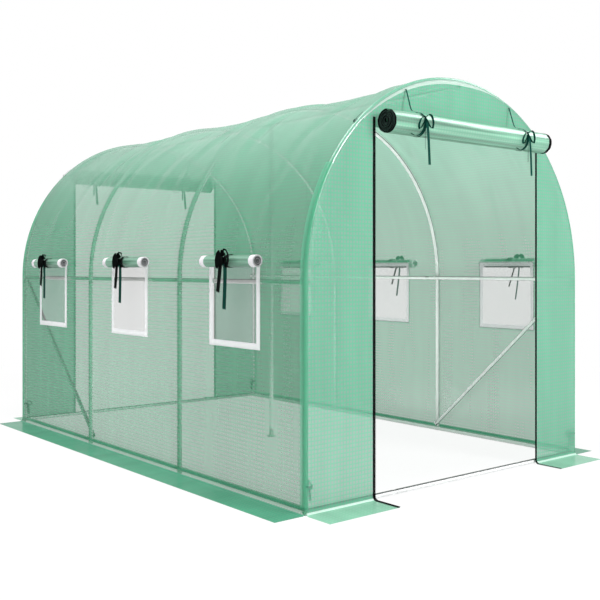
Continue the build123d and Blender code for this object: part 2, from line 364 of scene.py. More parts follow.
def soft_threads(tree, measure, pitch):
    """Rises to 1 on the middle of each thread that crosses this measure, and sinks to 0 between them."""
    wave = maths(tree, "COSINE", maths(tree, "MULTIPLY", measure, math.pi / pitch))
    return maths(tree, "POWER", maths(tree, "ABSOLUTE", wave), thread_slimness)


def woven_film(name, cell_cover=0.64, thread_cover=0.715, cell_tone=(0.10, 0.29, 0.188),
               thread_tone=(0.062, 0.327, 0.173), spread=0.2, gloss=0.13, streaks=(0.9, 8.0), crease=0.35,
               coat=0.0, dust=0.0, uprights=1.0):
    """Green woven film with clear cells and stronger threads, streaked along the cloth's first measure.
    Dust lies on it by this share where that measure is near zero, on the crown of the roof, and the
    threads that run up the film show by the share of uprights."""
    material, tree, output = start_material(name)
    cloth, first, second = cloth_measure(tree)
    level_threads = soft_threads(tree, first, thread_pitch)
    upright_threads = maths(tree, "MULTIPLY", soft_threads(tree, second, thread_pitch), uprights)
    threads = maths(tree, "MAXIMUM", level_threads, upright_threads)
    drawn_out = add_node(tree, "ShaderNodeMapping", Vector=cloth, Scale=(*streaks, 1.0))
    streak = add_node(tree, "ShaderNodeTexNoise", Vector=drawn_out.outputs[0], Scale=1.0, Detail=2.0)
    tones = []
    for tone in (cell_tone, thread_tone):
        dark = tuple((1 - spread) * part for part in tone) + (1,)
        light = tuple((1 + spread) * part for part in tone) + (1,)
        tones.append(blend_colours(tree, streak.outputs[0], dark, light))
    colour = blend_colours(tree, threads, *tones)
    cover = maths(tree, "MULTIPLY_ADD", threads, thread_cover - cell_cover, cell_cover)
    if dust:
        from_crown = maths(tree, "ABSOLUTE", first)
        settled = add_node(tree, "ShaderNodeMapRange", {"interpolation_type": "SMOOTHSTEP"},
                           i0=from_crown, i1=dust_reach[0], i2=dust_reach[1], i3=dust, i4=0.0).outputs[0]
        colour = blend_colours(tree, settled, colour, dust_tone)
        cover = maths(tree, "MULTIPLY_ADD", settled, dust_cover, cover)

    fine = add_node(tree, "ShaderNodeTexNoise", Vector=cloth, Scale=9.0, Detail=3.0)
    creased = maths(tree, "MULTIPLY_ADD", streak.outputs[0], crease, fine.outputs[0])
    weave = maths(tree, "MULTIPLY_ADD", threads, thread_rise, creased)
    bump = add_node(tree, "ShaderNodeBump", Strength=0.3, Distance=0.008, Height=weave)
    rough = maths(tree, "MULTIPLY_ADD", fine.outputs[0], gloss_spread, gloss)
    skin = add_node(tree, "ShaderNodeBsdfPrincipled", Base_Color=colour, Roughness=rough,
                    Normal=bump.outputs[0])
    skin.inputs["Specular IOR Level"].default_value = 0.42
    skin.inputs["Coat Weight"].default_value = coat
    skin.inputs["Coat IOR"].default_value = 2.0
    skin.inputs["Coat Roughness"].default_value = 0.13
    through = add_node(tree, "ShaderNodeBsdfTranslucent", Color=colour, Normal=bump.outputs[0])
    body = add_node(tree, "ShaderNodeMixShader", i0=light_through, i1=skin.outputs[0],
                    i2=through.outputs[0])
    clear = add_node(tree, "ShaderNodeBsdfTransparent", Color=clear_tint)
    mixed = add_node(tree, "ShaderNodeMixShader", i0=cover, i1=clear.outputs[0], i2=body.outputs[0])
    tree.links.new(mixed.outputs[0], output.inputs["Surface"])
    return material


green_film = woven_film("green_woven_film", dust=0.45, uprights=0.45)
end_film = woven_film("end_woven_film", 0.75, 0.84, (0.22, 0.395, 0.32), (0.11, 0.45, 0.275), 0.1,
                      crease=0.1)
# The film on the ground carries painted light: a darker green on the side skirts for shade, a lighter green
# on the end skirts for light.
shaded_ground_film = woven_film("shaded_ground_film", 0.95, 0.98, (0.095, 0.34, 0.215), (0.045, 0.33, 0.19))
lit_end_ground_film = woven_film("lit_end_ground_film", 0.93, 0.97, (0.29, 0.55, 0.41), (0.20, 0.52, 0.35))
wound_film = woven_film("wound_film", 0.86, 0.9, (0.32, 0.55, 0.43), (0.235, 0.52, 0.375), 0.9, 0.07,
                        streaks=(1.0, 55.0), crease=1.5, coat=0.35)
rim_film = woven_film("rim_film", 0.76, 0.84, (0.22, 0.43, 0.33), (0.13, 0.45, 0.29), 0.1, 0.07,
                      coat=0.55)
# A pale copy of the film for the strip along the fold at the foot of the end walls: painted highlight.
fold_highlight_film = woven_film("fold_highlight_film", 0.92, 0.96, (0.6, 0.8, 0.7), (0.5, 0.78, 0.65), 0.1, 0.07)
# A pale copy of the film for a band along the rim: painted highlight.
rim_highlight_film = woven_film("rim_highlight_film", 0.88, 0.92, (0.58, 0.68, 0.63), (0.5, 0.66, 0.58), 0.1, 0.1,
                       crease=0.1)
# A deeper green copy of the film over the legs of the end hoops: painted shade of the leg behind it.
corner_shade_film = woven_film("corner_shade_film", 0.83, 0.88, (0.13, 0.44, 0.285), (0.10, 0.46, 0.275), 0.1)
shaded_film = woven_film("shaded_film", 0.95, 0.97, (0.015, 0.07, 0.05), (0.01, 0.065, 0.045))
film_kinds = [green_film, end_film, shaded_ground_film, lit_end_ground_film, wound_film, rim_film, fold_highlight_film,
              rim_highlight_film, corner_shade_film, shaded_film]
print("finishes:", [kind.name for kind in film_kinds])

# %% [markdown]
# Before the cover is cut, its path is worked out like a tailor's measure: from the crown down the
# arch, down the wall, round the fold and out on the ground. Along the tunnel it runs straight from
# end hoop to end hoop and then wraps a quarter turn round each of them.
# A formula for one point of the film lets the cover, borders and nets all lie on the same surface.

# %% The measure of the cover
sheet_radius = film_outer - film / 2
crown_run = math.pi / 2 * sheet_radius
wall_run = wall_height - film_foot
fold_bend = fold_radius + film / 2
fold_run = math.pi / 2 * fold_bend
skirt_run = skirt_reach - film_outer - fold_radius
half_girth = crown_run + wall_run + fold_run + skirt_run
wrap_bend = end_face - film / 2 - frame_end


def cover_section(girth):
    """The film's section at these distances from the crown: points and the way outward, right side plus."""
    side = np.where(girth < 0, -1.0, 1.0)
    run = np.abs(girth)
    lean = np.minimum(run, crown_run) / sheet_radius
    down = np.clip(run - crown_run, 0, wall_run)
    turn = np.clip(run - crown_run - wall_run, 0, fold_run) / fold_bend
    flat = np.clip(run - half_girth + skirt_run, 0, None)
    x = sheet_radius * np.sin(lean) + fold_bend * (1 - np.cos(turn)) + flat
    z = wall_height + sheet_radius * np.cos(lean) - down - fold_bend * np.sin(turn)
    return side * x, z, side * np.sin(lean) * np.cos(turn), np.cos(lean) + np.sin(turn)


def cover_points(girth, along, lift=0.0):
    """Points of the cover at these distances from the crown and from the middle of the tunnel."""
    x, z, out_x, out_z = cover_section(girth)
    wrap = np.clip(np.abs(along) - frame_end, 0, None) / wrap_bend
    y = np.sign(along) * (np.minimum(np.abs(along), frame_end) + wrap_bend * np.sin(wrap))
    hold = 1 - ease((np.abs(girth) - crown_run - wall_run) / fold_run)
    off = lift + cover_slack(girth, along) - hold * wrap_bend * (1 - np.cos(wrap))
    return np.stack([x + out_x * off, y, z + out_z * off], axis=-1)


# %% [markdown]
# Film between two hoops is never quite flat. It sags a little under its own weight on the roof, and
# it keeps soft folds from packing. A cloth simulation would need fine steps to keep such a tight
# sheet from stretching, so the slack is drawn instead: a smooth sag in each bay, and many single
# folds, each with its own place, direction, length, width and height from a seeded draw.

# %% Sag and folds of the cover
sag_depth = 0.024
hoop_grip = 0.045
foot_grip = 0.12
window_grip = 0.06


def draw_folds(seed, count, girths, places, headings, lengths, widths, heights):
    """A list of folds, each drawn evenly between the given limits."""
    draw = np.random.default_rng(seed)
    limits = (girths, places, headings, lengths, widths, heights)
    return np.stack([draw.uniform(low, high, count) for low, high in limits], axis=1)


def fold_height(folds, girth, along):
    """The height of all these folds at the given points of a sheet."""
    height = np.zeros(np.broadcast(girth, along).shape)
    for middle, place, heading, length, width, top in folds:
        away_girth = girth - middle
        away_along = along - place
        lengthwise = away_girth * math.cos(heading) + away_along * math.sin(heading)
        crosswise = away_along * math.cos(heading) - away_girth * math.sin(heading)
        height += top * np.exp(-(lengthwise / length) ** 2 - (crosswise / width) ** 2)
    return height


roof_folds = draw_folds(11, 110, (-1.25, 1.25), (-1.5, 1.5), (-0.45, 0.45), (0.14, 0.42),
                        (0.028, 0.06), (-0.0075, 0.0075))
ridge_folds = np.concatenate([
    draw_folds(31 + number, 24, (-0.66, 0.66), (place - 0.3, place + 0.3), (-0.5, 0.5), (0.12, 0.3),
               (0.02, 0.04), (-0.012, 0.006)) for number, place in enumerate(hoop_places)])
shoulder_folds = draw_folds(12, 60, (-1.9, 1.9), (-1.5, 1.5), (0.7, 2.4), (0.05, 0.16),
                            (0.02, 0.035), (-0.002, 0.002))
wall_folds = np.concatenate([
    draw_folds(13 + side, 60, (side * 1.9 - 0.45, side * 1.9 + 0.45), (-1.5, 1.5), (-1.6, 1.6),
               (0.04, 0.16), (0.02, 0.035), (-0.0016, 0.0016)) for side in (-1, 1)])


def cover_slack(girth, along):
    """How far the film stands off its tight shape, outward plus."""
    inside = np.clip(along, -frame_end, frame_end)
    bay_share = (inside + frame_end) / bay_length % 1
    lean = np.minimum(np.abs(girth), crown_run) / crown_run
    sag = -sag_depth * 4 * bay_share * (1 - bay_share) * (1 - ease(lean))
    to_hoop = np.minimum(bay_share, 1 - bay_share) * bay_length
    loose = 1 - np.exp(-(to_hoop / hoop_grip) ** 2)
    on_wall = 1 - ease((np.abs(girth) - crown_run - wall_run + foot_grip) / foot_grip)
    folds = sum(fold_height(kind, girth, along) for kind in (roof_folds, ridge_folds, shoulder_folds))
    folds += fold_height(wall_folds, girth, along) * window_calm(girth, along)
    return sag + folds * loose * on_wall


def window_calm(girth, along):
    """0 on the windows, where netting and border hold the film flat, and 1 away from them."""
    height = wall_height - (np.abs(girth) - crown_run)
    off_height = np.abs(height - (window_sill + window_top) / 2) - (window_top - window_sill) / 2
    nearest = {name: np.min([np.abs(along - place) for place in places], axis=0) - window_half
               for name, places in window_places.items()}
    off_along = np.where(girth < 0, nearest["left"], nearest["right"])
    return ease(np.maximum(off_height, off_along) / window_grip)


print("folds drawn:", len(roof_folds) + len(ridge_folds) + len(shoulder_folds) + len(wall_folds))

# %% [markdown]
# The whole cover is one sheet, from the edge of the left skirt over the roof to the edge of the right
# skirt. Separate panels would show as steps at their joints. The grid has lines exactly on the window
# openings, so the windows are made by leaving cells out, and their edges come out straight. Each cell
# takes one of four kinds of film: plain, on the ground with painted shade, over the rim, or a deeper
# green over the legs of the end hoops, painted shade of the leg behind it.

# %% The cover sheet
opening_low = window_sill + window_border
opening_high = window_top - window_border
opening_half = window_half - window_border
opening_start = math.acos((opening_high - wall_height) / sheet_radius) * sheet_radius
opening_end = crown_run + wall_height - opening_low
seam_lap = 0.008
cut_start = math.acos((window_top - seam_lap - wall_height) / sheet_radius) * sheet_radius
cut_end = crown_run + wall_height - window_sill - seam_lap
cut_half = window_half - seam_lap
cover_rows = 0.02
cover_columns = 0.0098
fold_pitch = 0.005
wrap_cells = 6
seam_run = 0.009
corner_start = 1.02
corner_lap = 0.022
seam_start = crown_run + wall_run - seam_run
girth_breaks = [0, cut_start, crown_run, cut_end, seam_start, crown_run + wall_run,
                half_girth - skirt_run, half_girth]
right_girths = np.unique(np.concatenate([
    stations(girth_breaks, cover_rows),
    stations([crown_run + wall_run, half_girth - skirt_run], fold_pitch)]))
cover_girths = np.concatenate([-right_girths[:0:-1], right_girths])
window_edges = [place + side * cut_half for places in window_places.values() for place in places
                for side in (-1, 1)]
along_breaks = sorted(hoop_places + window_edges)
inner_alongs = stations(along_breaks, cover_columns)
wrap_steps = frame_end + np.linspace(0, math.pi / 2 * wrap_bend, wrap_cells + 1)[1:]
cover_alongs = np.concatenate([-wrap_steps[::-1], inner_alongs, wrap_steps])


def in_windows(girths, alongs):
    """True for the cells of the grid that lie in a window opening."""
    girth = (girths[:-1] + girths[1:])[:, None] / 2
    along = (alongs[:-1] + alongs[1:])[None, :] / 2
    inside = np.zeros((girth.size, along.size), bool)
    for side_name, side in sides:
        tall = (side * girth > cut_start) & (side * girth < cut_end)
        wide = np.any([np.abs(along - place) < cut_half for place in window_places[side_name]], axis=0)
        inside |= tall & wide
    return inside


girth_grid, along_grid = np.meshgrid(cover_girths, cover_alongs, indexing="ij")
bench = Bench()
cell_girths = np.abs(cover_girths[:-1] + cover_girths[1:]) / 2
cell_alongs = np.abs(cover_alongs[:-1] + cover_alongs[1:]) / 2
PLAIN, GROUND, RIM, CORNER_SHADE = range(4)
cover_finishes = [green_film, shaded_ground_film, rim_film, corner_shade_film]
on_ground = cell_girths > crown_run + wall_run + fold_run / 2
on_ground |= (cell_girths > seam_start) & (cell_girths < crown_run + wall_run)
on_rim = (cell_girths < crown_run)[:, None] & (cell_alongs > frame_end)[None, :]
by_corner = (cell_girths > corner_start) & (cell_girths < seam_start)
in_corner_shade = by_corner[:, None] & (cell_alongs > frame_end - corner_lap)[None, :]
cover_finish = np.where(on_ground[:, None], GROUND, np.where(on_rim, RIM, PLAIN))
# Over the legs of the end hoops the film takes the painted shade.
cover_finish[in_corner_shade] = CORNER_SHADE
bench.lay(cover_points(girth_grid, along_grid), np.stack([girth_grid, along_grid], axis=-1),
          finish=cover_finish, kept=~in_windows(cover_girths, cover_alongs))
cover_nodes = ["left_wall_film", "right_wall_film", "left_skirt", "right_skirt"]
cover_nodes += [f"roof_film_{strip}" for strip in range(1, 7)]
cover = bench.piece("cover_sheet", cover_finishes, cover_nodes)

# %% [markdown]
# Each end wall is a sheet shaped like an upside-down U: it runs up one side of the doorway, over it
# and down the other side, and folds out on the ground at both feet. A flat grid cut by the round rim
# would leave slivers, so the rows follow the U from the doorway's edge to the rim instead. The last row
# is a narrow band along the rim, pale over part of the arch: painted highlight. A narrow strip along the
# fold at each foot is pale too: painted highlight.

# %% The end wall sheets
shoulder_lean = math.atan2(door_half, door_top - wall_height)
shoulder_run = (door_top - wall_height + (math.pi / 2 - shoulder_lean) * hoop_radius) / 2
end_skirt_run = end_skirt_reach - end_face - fold_radius
end_runs = np.cumsum([0, door_half, shoulder_run, wall_run, fold_run, end_skirt_run])
end_rows = 25
end_pitch = 0.0165
corner_widen = hoop_tube / 2
hem_share, rim_share, foot_share = 0.1, 0.08, 0.1
band_widest, band_least = 0.07, 0.007
band_start, band_end = -0.62, 0.3
fold_strip = 0.006
panel_folds = draw_folds(21, 70, (-0.98, 0.98), (0.1, 1.95), (-1.6, 1.6), (0.05, 0.2),
                         (0.02, 0.04), (-0.002, 0.002))


def end_points(run, share, facing, door_middle):
    """Points of an end wall: run along the U from the middle of the top, share from doorway to rim."""
    side = np.where(run < 0, -1.0, 1.0)
    steps = [np.clip((np.abs(run) - start) / (end - start), 0, 1)
             for start, end in zip(end_runs, end_runs[1:])]
    over_door, shoulder, down, fold, skirt = steps
    lean = shoulder_lean * over_door + (math.pi / 2 - shoulder_lean) * shoulder
    inner_x = door_half * over_door
    inner_z = door_top - (door_top - wall_height) * shoulder
    outer_x = hoop_radius * np.sin(lean) + corner_widen * ease(fold)
    outer_z = wall_height + hoop_radius * np.cos(lean)
    turn = fold * math.pi / 2
    inner_x = door_middle + side * inner_x
    x = inner_x + (side * outer_x - inner_x) * share
    z = inner_z + (outer_z - inner_z) * share - wall_run * down - fold_bend * np.sin(turn)
    out = fold_bend * (1 - np.cos(turn)) + end_skirt_run * skirt
    held = ease(share / hem_share) * ease((1 - share) / rim_share)
    held *= 1 - ease((down - 1 + foot_share) / foot_share)
    slack = fold_height(panel_folds, x, z) * held
    y = facing * (end_face - film / 2 + out + slack)
    cloth_z = inner_z + (outer_z - inner_z) * share - wall_run * down - fold_run * fold
    return np.stack([x, y, z], axis=-1), np.stack([cloth_z - end_skirt_run * skirt, x], axis=-1)


right_runs = np.unique(np.concatenate([stations(list(end_runs), end_pitch),
                                       stations(list(end_runs[3:5]), fold_pitch)]))
u_runs = np.concatenate([-right_runs[:0:-1], right_runs])
end_shares = np.concatenate([np.linspace(0, 1 - band_widest, end_rows), [1]])
run_grid, share_grid = np.meshgrid(u_runs, end_shares, indexing="ij")
share_grid[:, -2] = 1 - band_widest + (band_widest - band_least) * ease(u_runs / band_end)
row_middles = (u_runs[:-1] + u_runs[1:]) / 2
row_runs = np.abs(row_middles)
fold_middle = (end_runs[3] + end_runs[4]) / 2
at_rim = (row_runs < end_runs[2])[:, None] & (end_shares[None, 1:] == 1)
in_rim_highlight = (row_middles > band_start) & (row_middles < band_end)
FOLD_HIGHLIGHT, RIM_HIGHLIGHT = 3, 4
end_finishes = [end_film, lit_end_ground_film, rim_film, fold_highlight_film, rim_highlight_film]
end_finish = np.where((row_runs > fold_middle)[:, None], GROUND, np.where(at_rim, RIM, PLAIN))
# The strip along the fold gets the painted highlight.
end_finish[np.abs(row_runs - fold_middle) < fold_strip] = FOLD_HIGHLIGHT
# Over part of the arch the band along the rim gets the painted highlight.
end_finish[at_rim & in_rim_highlight[:, None]] = RIM_HIGHLIGHT
panel_width = hoop_radius - door_half
end_area = math.pi / 2 * hoop_radius ** 2 + 2 * hoop_radius * wall_run
end_area -= 2 * door_half * (door_top - film_foot)
end_area += 2 * panel_width * (fold_run + end_skirt_run)
for end, facing in ends:
    bench = Bench()
    points, cloth = end_points(run_grid, share_grid, facing, door_middles[end])
    bench.lay(points[:, ::facing], cloth[:, ::facing], finish=end_finish[:, ::facing])
    end_nodes = [f"{end}_wall_left", f"{end}_wall_right", f"{end}_wall_top", f"{end}_skirts"]
    end_sheet = bench.piece(f"{end}_wall_sheet", end_finishes, end_nodes)

# %% [markdown]
# The white strips round the windows are sewn on, and so are the white ends of the rolled-up flaps.
# They are dense woven tape, a little fuzzy, with a fine rib in both directions. Plain white would look
# like card, so the tape gets a fine checked weave, a faint uneven tone and a soft sheen. Ribbons and zips
# are the same cloth in darker tones, so one function makes them all.

# %% Tape and ribbon finishes
weave_share = 0.22


def fine_weave(tree, across, along, pitch):
    """A height that rises and falls over and under like plain weave."""
    first = maths(tree, "SINE", maths(tree, "MULTIPLY", across, math.tau / pitch))
    second = maths(tree, "SINE", maths(tree, "MULTIPLY", along, math.tau / pitch))
    return maths(tree, "MULTIPLY", first, second)


def woven_tape(name, dark, light, pitch, rough, sheen=0.0, shine=0.12, through=0.0, painted_glow=0.0):
    """Dense woven tape between two tones, lit through from behind by this share, with a painted glow of the
    given strength in its light tone.
    """
    material, tree, output = start_material(name)
    cloth, across, along = cloth_measure(tree)
    weave = fine_weave(tree, across, along, pitch)
    cloud = add_node(tree, "ShaderNodeTexNoise", Vector=cloth, Scale=30.0, Detail=5.0)
    mixed = maths(tree, "MULTIPLY_ADD", weave, weave_share, cloud.outputs[0])
    colour = blend_colours(tree, mixed, dark, light)
    bump = add_node(tree, "ShaderNodeBump", Strength=0.4, Distance=0.0006, Height=weave)
    skin = add_node(tree, "ShaderNodeBsdfPrincipled", Base_Color=colour, Roughness=rough,
                    Normal=bump.outputs[0])
    skin.inputs["Sheen Weight"].default_value = sheen
    skin.inputs["Specular IOR Level"].default_value = shine
    skin.inputs["Emission Color"].default_value = light
    skin.inputs["Emission Strength"].default_value = painted_glow
    glow = add_node(tree, "ShaderNodeBsdfTranslucent", Color=colour, Normal=bump.outputs[0])
    body = add_node(tree, "ShaderNodeMixShader", i0=through, i1=skin.outputs[0], i2=glow.outputs[0])
    tree.links.new(body.outputs[0], output.inputs["Surface"])
    return material


# The white tape has a faint painted glow, though it is no lamp.
white_tape = woven_tape("white_tape", (0.86, 0.84, 0.87, 1), (0.97, 0.95, 0.98, 1), 0.0016, 0.75, 0.2,
                        through=0.42, painted_glow=0.18)
stitch_thread = woven_tape("stitch_thread", (0.5, 0.5, 0.5, 1), (0.7, 0.7, 0.7, 1), 0.0008, 0.6, 0.1)
black_ribbon = woven_tape("black_ribbon", (0.001, 0.002, 0.002, 1), (0.004, 0.006, 0.005, 1), 0.0012, 0.6,
                          shine=0.03)
green_ribbon = woven_tape("green_ribbon", (0.001, 0.026, 0.018, 1), (0.004, 0.056, 0.04, 1), 0.0012, 0.55,
                          shine=0.03)
zip_tape = woven_tape("zip_tape", (0.001, 0.0015, 0.0015, 1), (0.004, 0.005, 0.005, 1), 0.0014, 0.7,
                      shine=0.02)
zip_edge = woven_tape("zip_edge", (0.014, 0.03, 0.025, 1), (0.035, 0.06, 0.05, 1), 0.0014, 0.7, shine=0.05)
shaded_tape = woven_tape("shaded_tape", (0.03, 0.028, 0.034, 1), (0.08, 0.07, 0.085, 1), 0.0016, 0.8)
# Grey copies of the white tape for the ends of the rolled flaps, pale to near black: painted shade.
roll_shade_edge = woven_tape("roll_shade_edge", (0.42, 0.39, 0.42, 1), (0.6, 0.56, 0.6, 1), 0.0016, 0.8)
deep_shade_edge = woven_tape("deep_shade_edge", (0.12, 0.11, 0.12, 1), (0.2, 0.18, 0.2, 1), 0.0016, 0.8)
pale_shade_edge = woven_tape("pale_shade_edge", (0.7, 0.68, 0.7, 1), (0.85, 0.83, 0.85, 1), 0.0016, 0.8)
tapes = [white_tape, stitch_thread, black_ribbon, green_ribbon, zip_tape, zip_edge, shaded_tape,
         roll_shade_edge, deep_shade_edge, pale_shade_edge]
print("tapes:", [tape.name for tape in tapes])

# %% [markdown]
# Insect netting is mostly holes. At this distance the eye only sees a light grey veil, and close up it
# sees single threads. The finish covers a little of each hole and more of each thread. Its threads rise
# softly, because hard lines this fine would flicker into false patterns.

# %% Netting finish
def insect_net(name, pitch, hole_cover, thread_cover):
    """Pale threads on a fine square grid with holes between them that are almost open."""
    material, tree, output = start_material(name)
    cloth, across, along = cloth_measure(tree)
    threads = maths(tree, "MAXIMUM", soft_threads(tree, across, pitch),
                    soft_threads(tree, along, pitch))
    cover = maths(tree, "MULTIPLY_ADD", threads, thread_cover - hole_cover, hole_cover)
    cloud = add_node(tree, "ShaderNodeTexNoise", Vector=cloth, Scale=40.0, Detail=3.0)
    colour = blend_colours(tree, cloud.outputs[0], (0.24, 0.26, 0.25, 1), (0.38, 0.4, 0.39, 1))
    thread = add_node(tree, "ShaderNodeBsdfPrincipled", Base_Color=colour, Roughness=0.6)
    hole = add_node(tree, "ShaderNodeBsdfTransparent", Color=(1, 1, 1, 1))
    mixed = add_node(tree, "ShaderNodeMixShader", i0=cover, i1=hole.outputs[0], i2=thread.outputs[0])
    tree.links.new(mixed.outputs[0], output.inputs["Surface"])
    return material


white_net = insect_net("white_netting", pitch=0.0016, hole_cover=0.24, thread_cover=0.56)
print("finish:", white_net.name)

# %% [markdown]
# Each window has netting in its opening and a white border sewn over the cut edge. Both lie on the
# cover, so their points come from the same formula, a little further out or in. The border is a grid
# with its middle left out. Two seams run round it, and each stitch is a small raised strip, because a
# drawn line would not catch the light.

# %% Window borders and nets
border_top = math.acos((window_top - wall_height) / sheet_radius) * sheet_radius
border_end = crown_run + wall_height - window_sill
tape_lift = 0.0026
net_lift = -0.0008
net_overlap = 0.003
net_tuck = window_border - seam_lap + net_overlap
net_pitch = 0.02
tape_pitch = 0.009
stitch_run = 0.005
stitch_step = 0.0078
stitch_wide = 0.0012
stitch_rise = 0.0008
seam_inset = 0.004
seam_insets = (seam_inset, window_border - seam_inset)


def thicken(thing, thickness, edge_finish=0):
    """Gives a sheet this real thickness, and its edges the finish this many places further on."""
    step = thing.modifiers.new("thickness", "SOLIDIFY")
    step.thickness = thickness
    step.offset = 0
    step.material_offset_rim = edge_finish


def window_grid(side, place, girths, alongs, lift):
    """Points and cloth measure of a window piece on the cover."""
    girth, along = np.meshgrid(side * girths, place + alongs, indexing="ij")
    return cover_points(girth, along, lift), np.stack([girth, along], axis=-1)


def window_stitches(side, place, inset):
    """The stitches of one seam round a border, this far in from its outer edge."""
    top, low, half = border_top + inset, border_end - inset, window_half - inset
    corners = np.array([(top, -half), (top, half), (low, half), (low, -half), (top, -half)])
    stitches = []
    for start, end in zip(corners, corners[1:]):
        length = np.linalg.norm(end - start)
        ahead = (end - start) / length
        begins = np.arange(stitch_step / 2, length - stitch_run, stitch_step)
        run = begins[:, None, None] + np.linspace(0, stitch_run, 3)[None, :, None]
        off = np.array([-0.5, 0.5])[None, None, :] * stitch_wide
        stitches.append(start + ahead * run[..., None] + ahead[::-1] * (-1, 1) * off[..., None])
    flat = np.concatenate(stitches)
    return cover_points(side * flat[..., 0], place + flat[..., 1], tape_lift + stitch_rise)


border_girths = stations([border_top, opening_start, crown_run, opening_end, border_end], tape_pitch)
border_alongs = stations([-window_half, -opening_half, opening_half, window_half], tape_pitch)
middle_girths = (border_girths[:-1] + border_girths[1:]) / 2
middle_alongs = (border_alongs[:-1] + border_alongs[1:]) / 2
in_frame = ~(((middle_girths > opening_start) & (middle_girths < opening_end))[:, None]
             & (np.abs(middle_alongs) < opening_half)[None, :])
net_girths = stations([opening_start - net_tuck, opening_end + net_tuck], net_pitch)
net_alongs = stations([-opening_half - net_tuck, opening_half + net_tuck], net_pitch)
for side_name, side in sides:
    for number, place in enumerate(window_places[side_name], 1):
        bench = Bench()
        points, cloth = window_grid(side, place, border_girths, border_alongs, tape_lift)
        bench.lay(points, cloth, kept=in_frame)
        for inset in seam_insets:
            for stitch in window_stitches(side, place, inset):
                bench.lay(stitch, finish=1)
        border = bench.piece(f"{side_name}_window_border_{number}", [white_tape, stitch_thread],
                             [f"{side_name}_window_borders"])
        bench = Bench()
        points, cloth = window_grid(side, place, net_girths, net_alongs, net_lift)
        bench.lay(points, cloth)
        net = bench.piece(f"{side_name}_window_net_{number}", [white_net],
                          [f"{side_name}_window_nets"])

# %% [markdown]
# A rolled-up door or window flap is one sheet wound into a spiral. A plain cylinder would have flat
# ends, and a real roll shows its windings there. The spiral starts at the wall, passes under the roll
# and winds inward. Its edges wander a little, so the windings don't line up like a machined part. A door
# has black zip tape along its side edges, a window flap has white tape there.

# %% Rolled-up doors and window flaps
turn_steps = 44
roll_start = math.radians(203)


def wound_sheet(radius, layers, layer_pitch, places, wander, ripple):
    """A spiral sheet: points as along, out and up, outer end first, the cloth's measure and its length."""
    turn = np.linspace(0, layers * math.tau, int(layers * turn_steps) + 1)[:, None]
    along = places[None, :]
    even = radius - layer_pitch * turn / math.tau
    bumps = np.sin(9 * turn + along) + np.sin(13 * turn - 2 * along + 1)
    bumps = bumps + 0.6 * np.sin(3 * turn + 9 * along)
    size = even + ripple * bumps * (even / radius)
    drift = wander * np.sin(0.61 * turn + 1)
    run = np.cumsum(np.concatenate([[[0]], np.diff(turn, axis=0)]) * even, axis=0)
    angle = roll_start + turn
    points = np.stack([along + drift, size * np.cos(angle), size * np.sin(angle)], axis=-1)
    cloth = np.stack(np.broadcast_arrays(along, run), axis=-1)
    return points, cloth, float(run[-1, 0])


def placer(origin, along_way, out_way):
    """A function that sets points given as along, out and up at this place of the tunnel."""
    ways = np.array([along_way, out_way, (0, 0, 1)], float)
    return lambda points: np.array(origin) + points @ ways


def door_placer(end, facing, place=0.0):
    """Sets along, out and up on the door roll of this end."""
    node = f"{end}_door_roll"
    return placer((place, middle_of(node, Y), middle_of(node, Z)), (1, 0, 0), (0, facing, 0))


def window_placer(side_name, side, place, heading=1):
    """Sets along, out and up on a window roll of this side, heading to the rear or to the front."""
    node = f"{side_name}_window_rolls"
    return placer((middle_of(node, X), place, middle_of(node, Z)), (0, heading, 0), (side, 0, 0))


door_edges = (0.012, 0.022)
door_thick = 0.003
door_layers, door_pitch = 8.2, 0.0054
door_wander, door_ripple = 0.0035, 0.0006
door_columns = 0.03
for end, facing in ends:
    node = f"{end}_door_roll"
    left_end, right_end = (corner[X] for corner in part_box(node))
    tape_ends = (left_end + door_edges[0], right_end - door_edges[1])
    places = stations([left_end, *tape_ends, right_end], door_columns)
    points, cloth, run = wound_sheet(half_of(node, Z) - door_thick / 2, door_layers, door_pitch, places,
                                     door_wander, door_ripple)
    middle = (places[:-1] + places[1:]) / 2
    edge = (middle < tape_ends[0]) | (middle > tape_ends[1])
    points = door_placer(end, facing)(points)
    bench = Bench()
    bench.lay(points[:, ::facing], cloth[:, ::facing], finish=edge[None, ::facing].astype(int))
    roll = bench.piece(f"{end}_rolled_door", [wound_film, zip_tape, zip_edge],
                       [f"{end}_door_roll"])
    thicken(roll, door_thick, 1)
    print(f"{end} door: {right_end - left_end:.3f} by {run:.3f}")

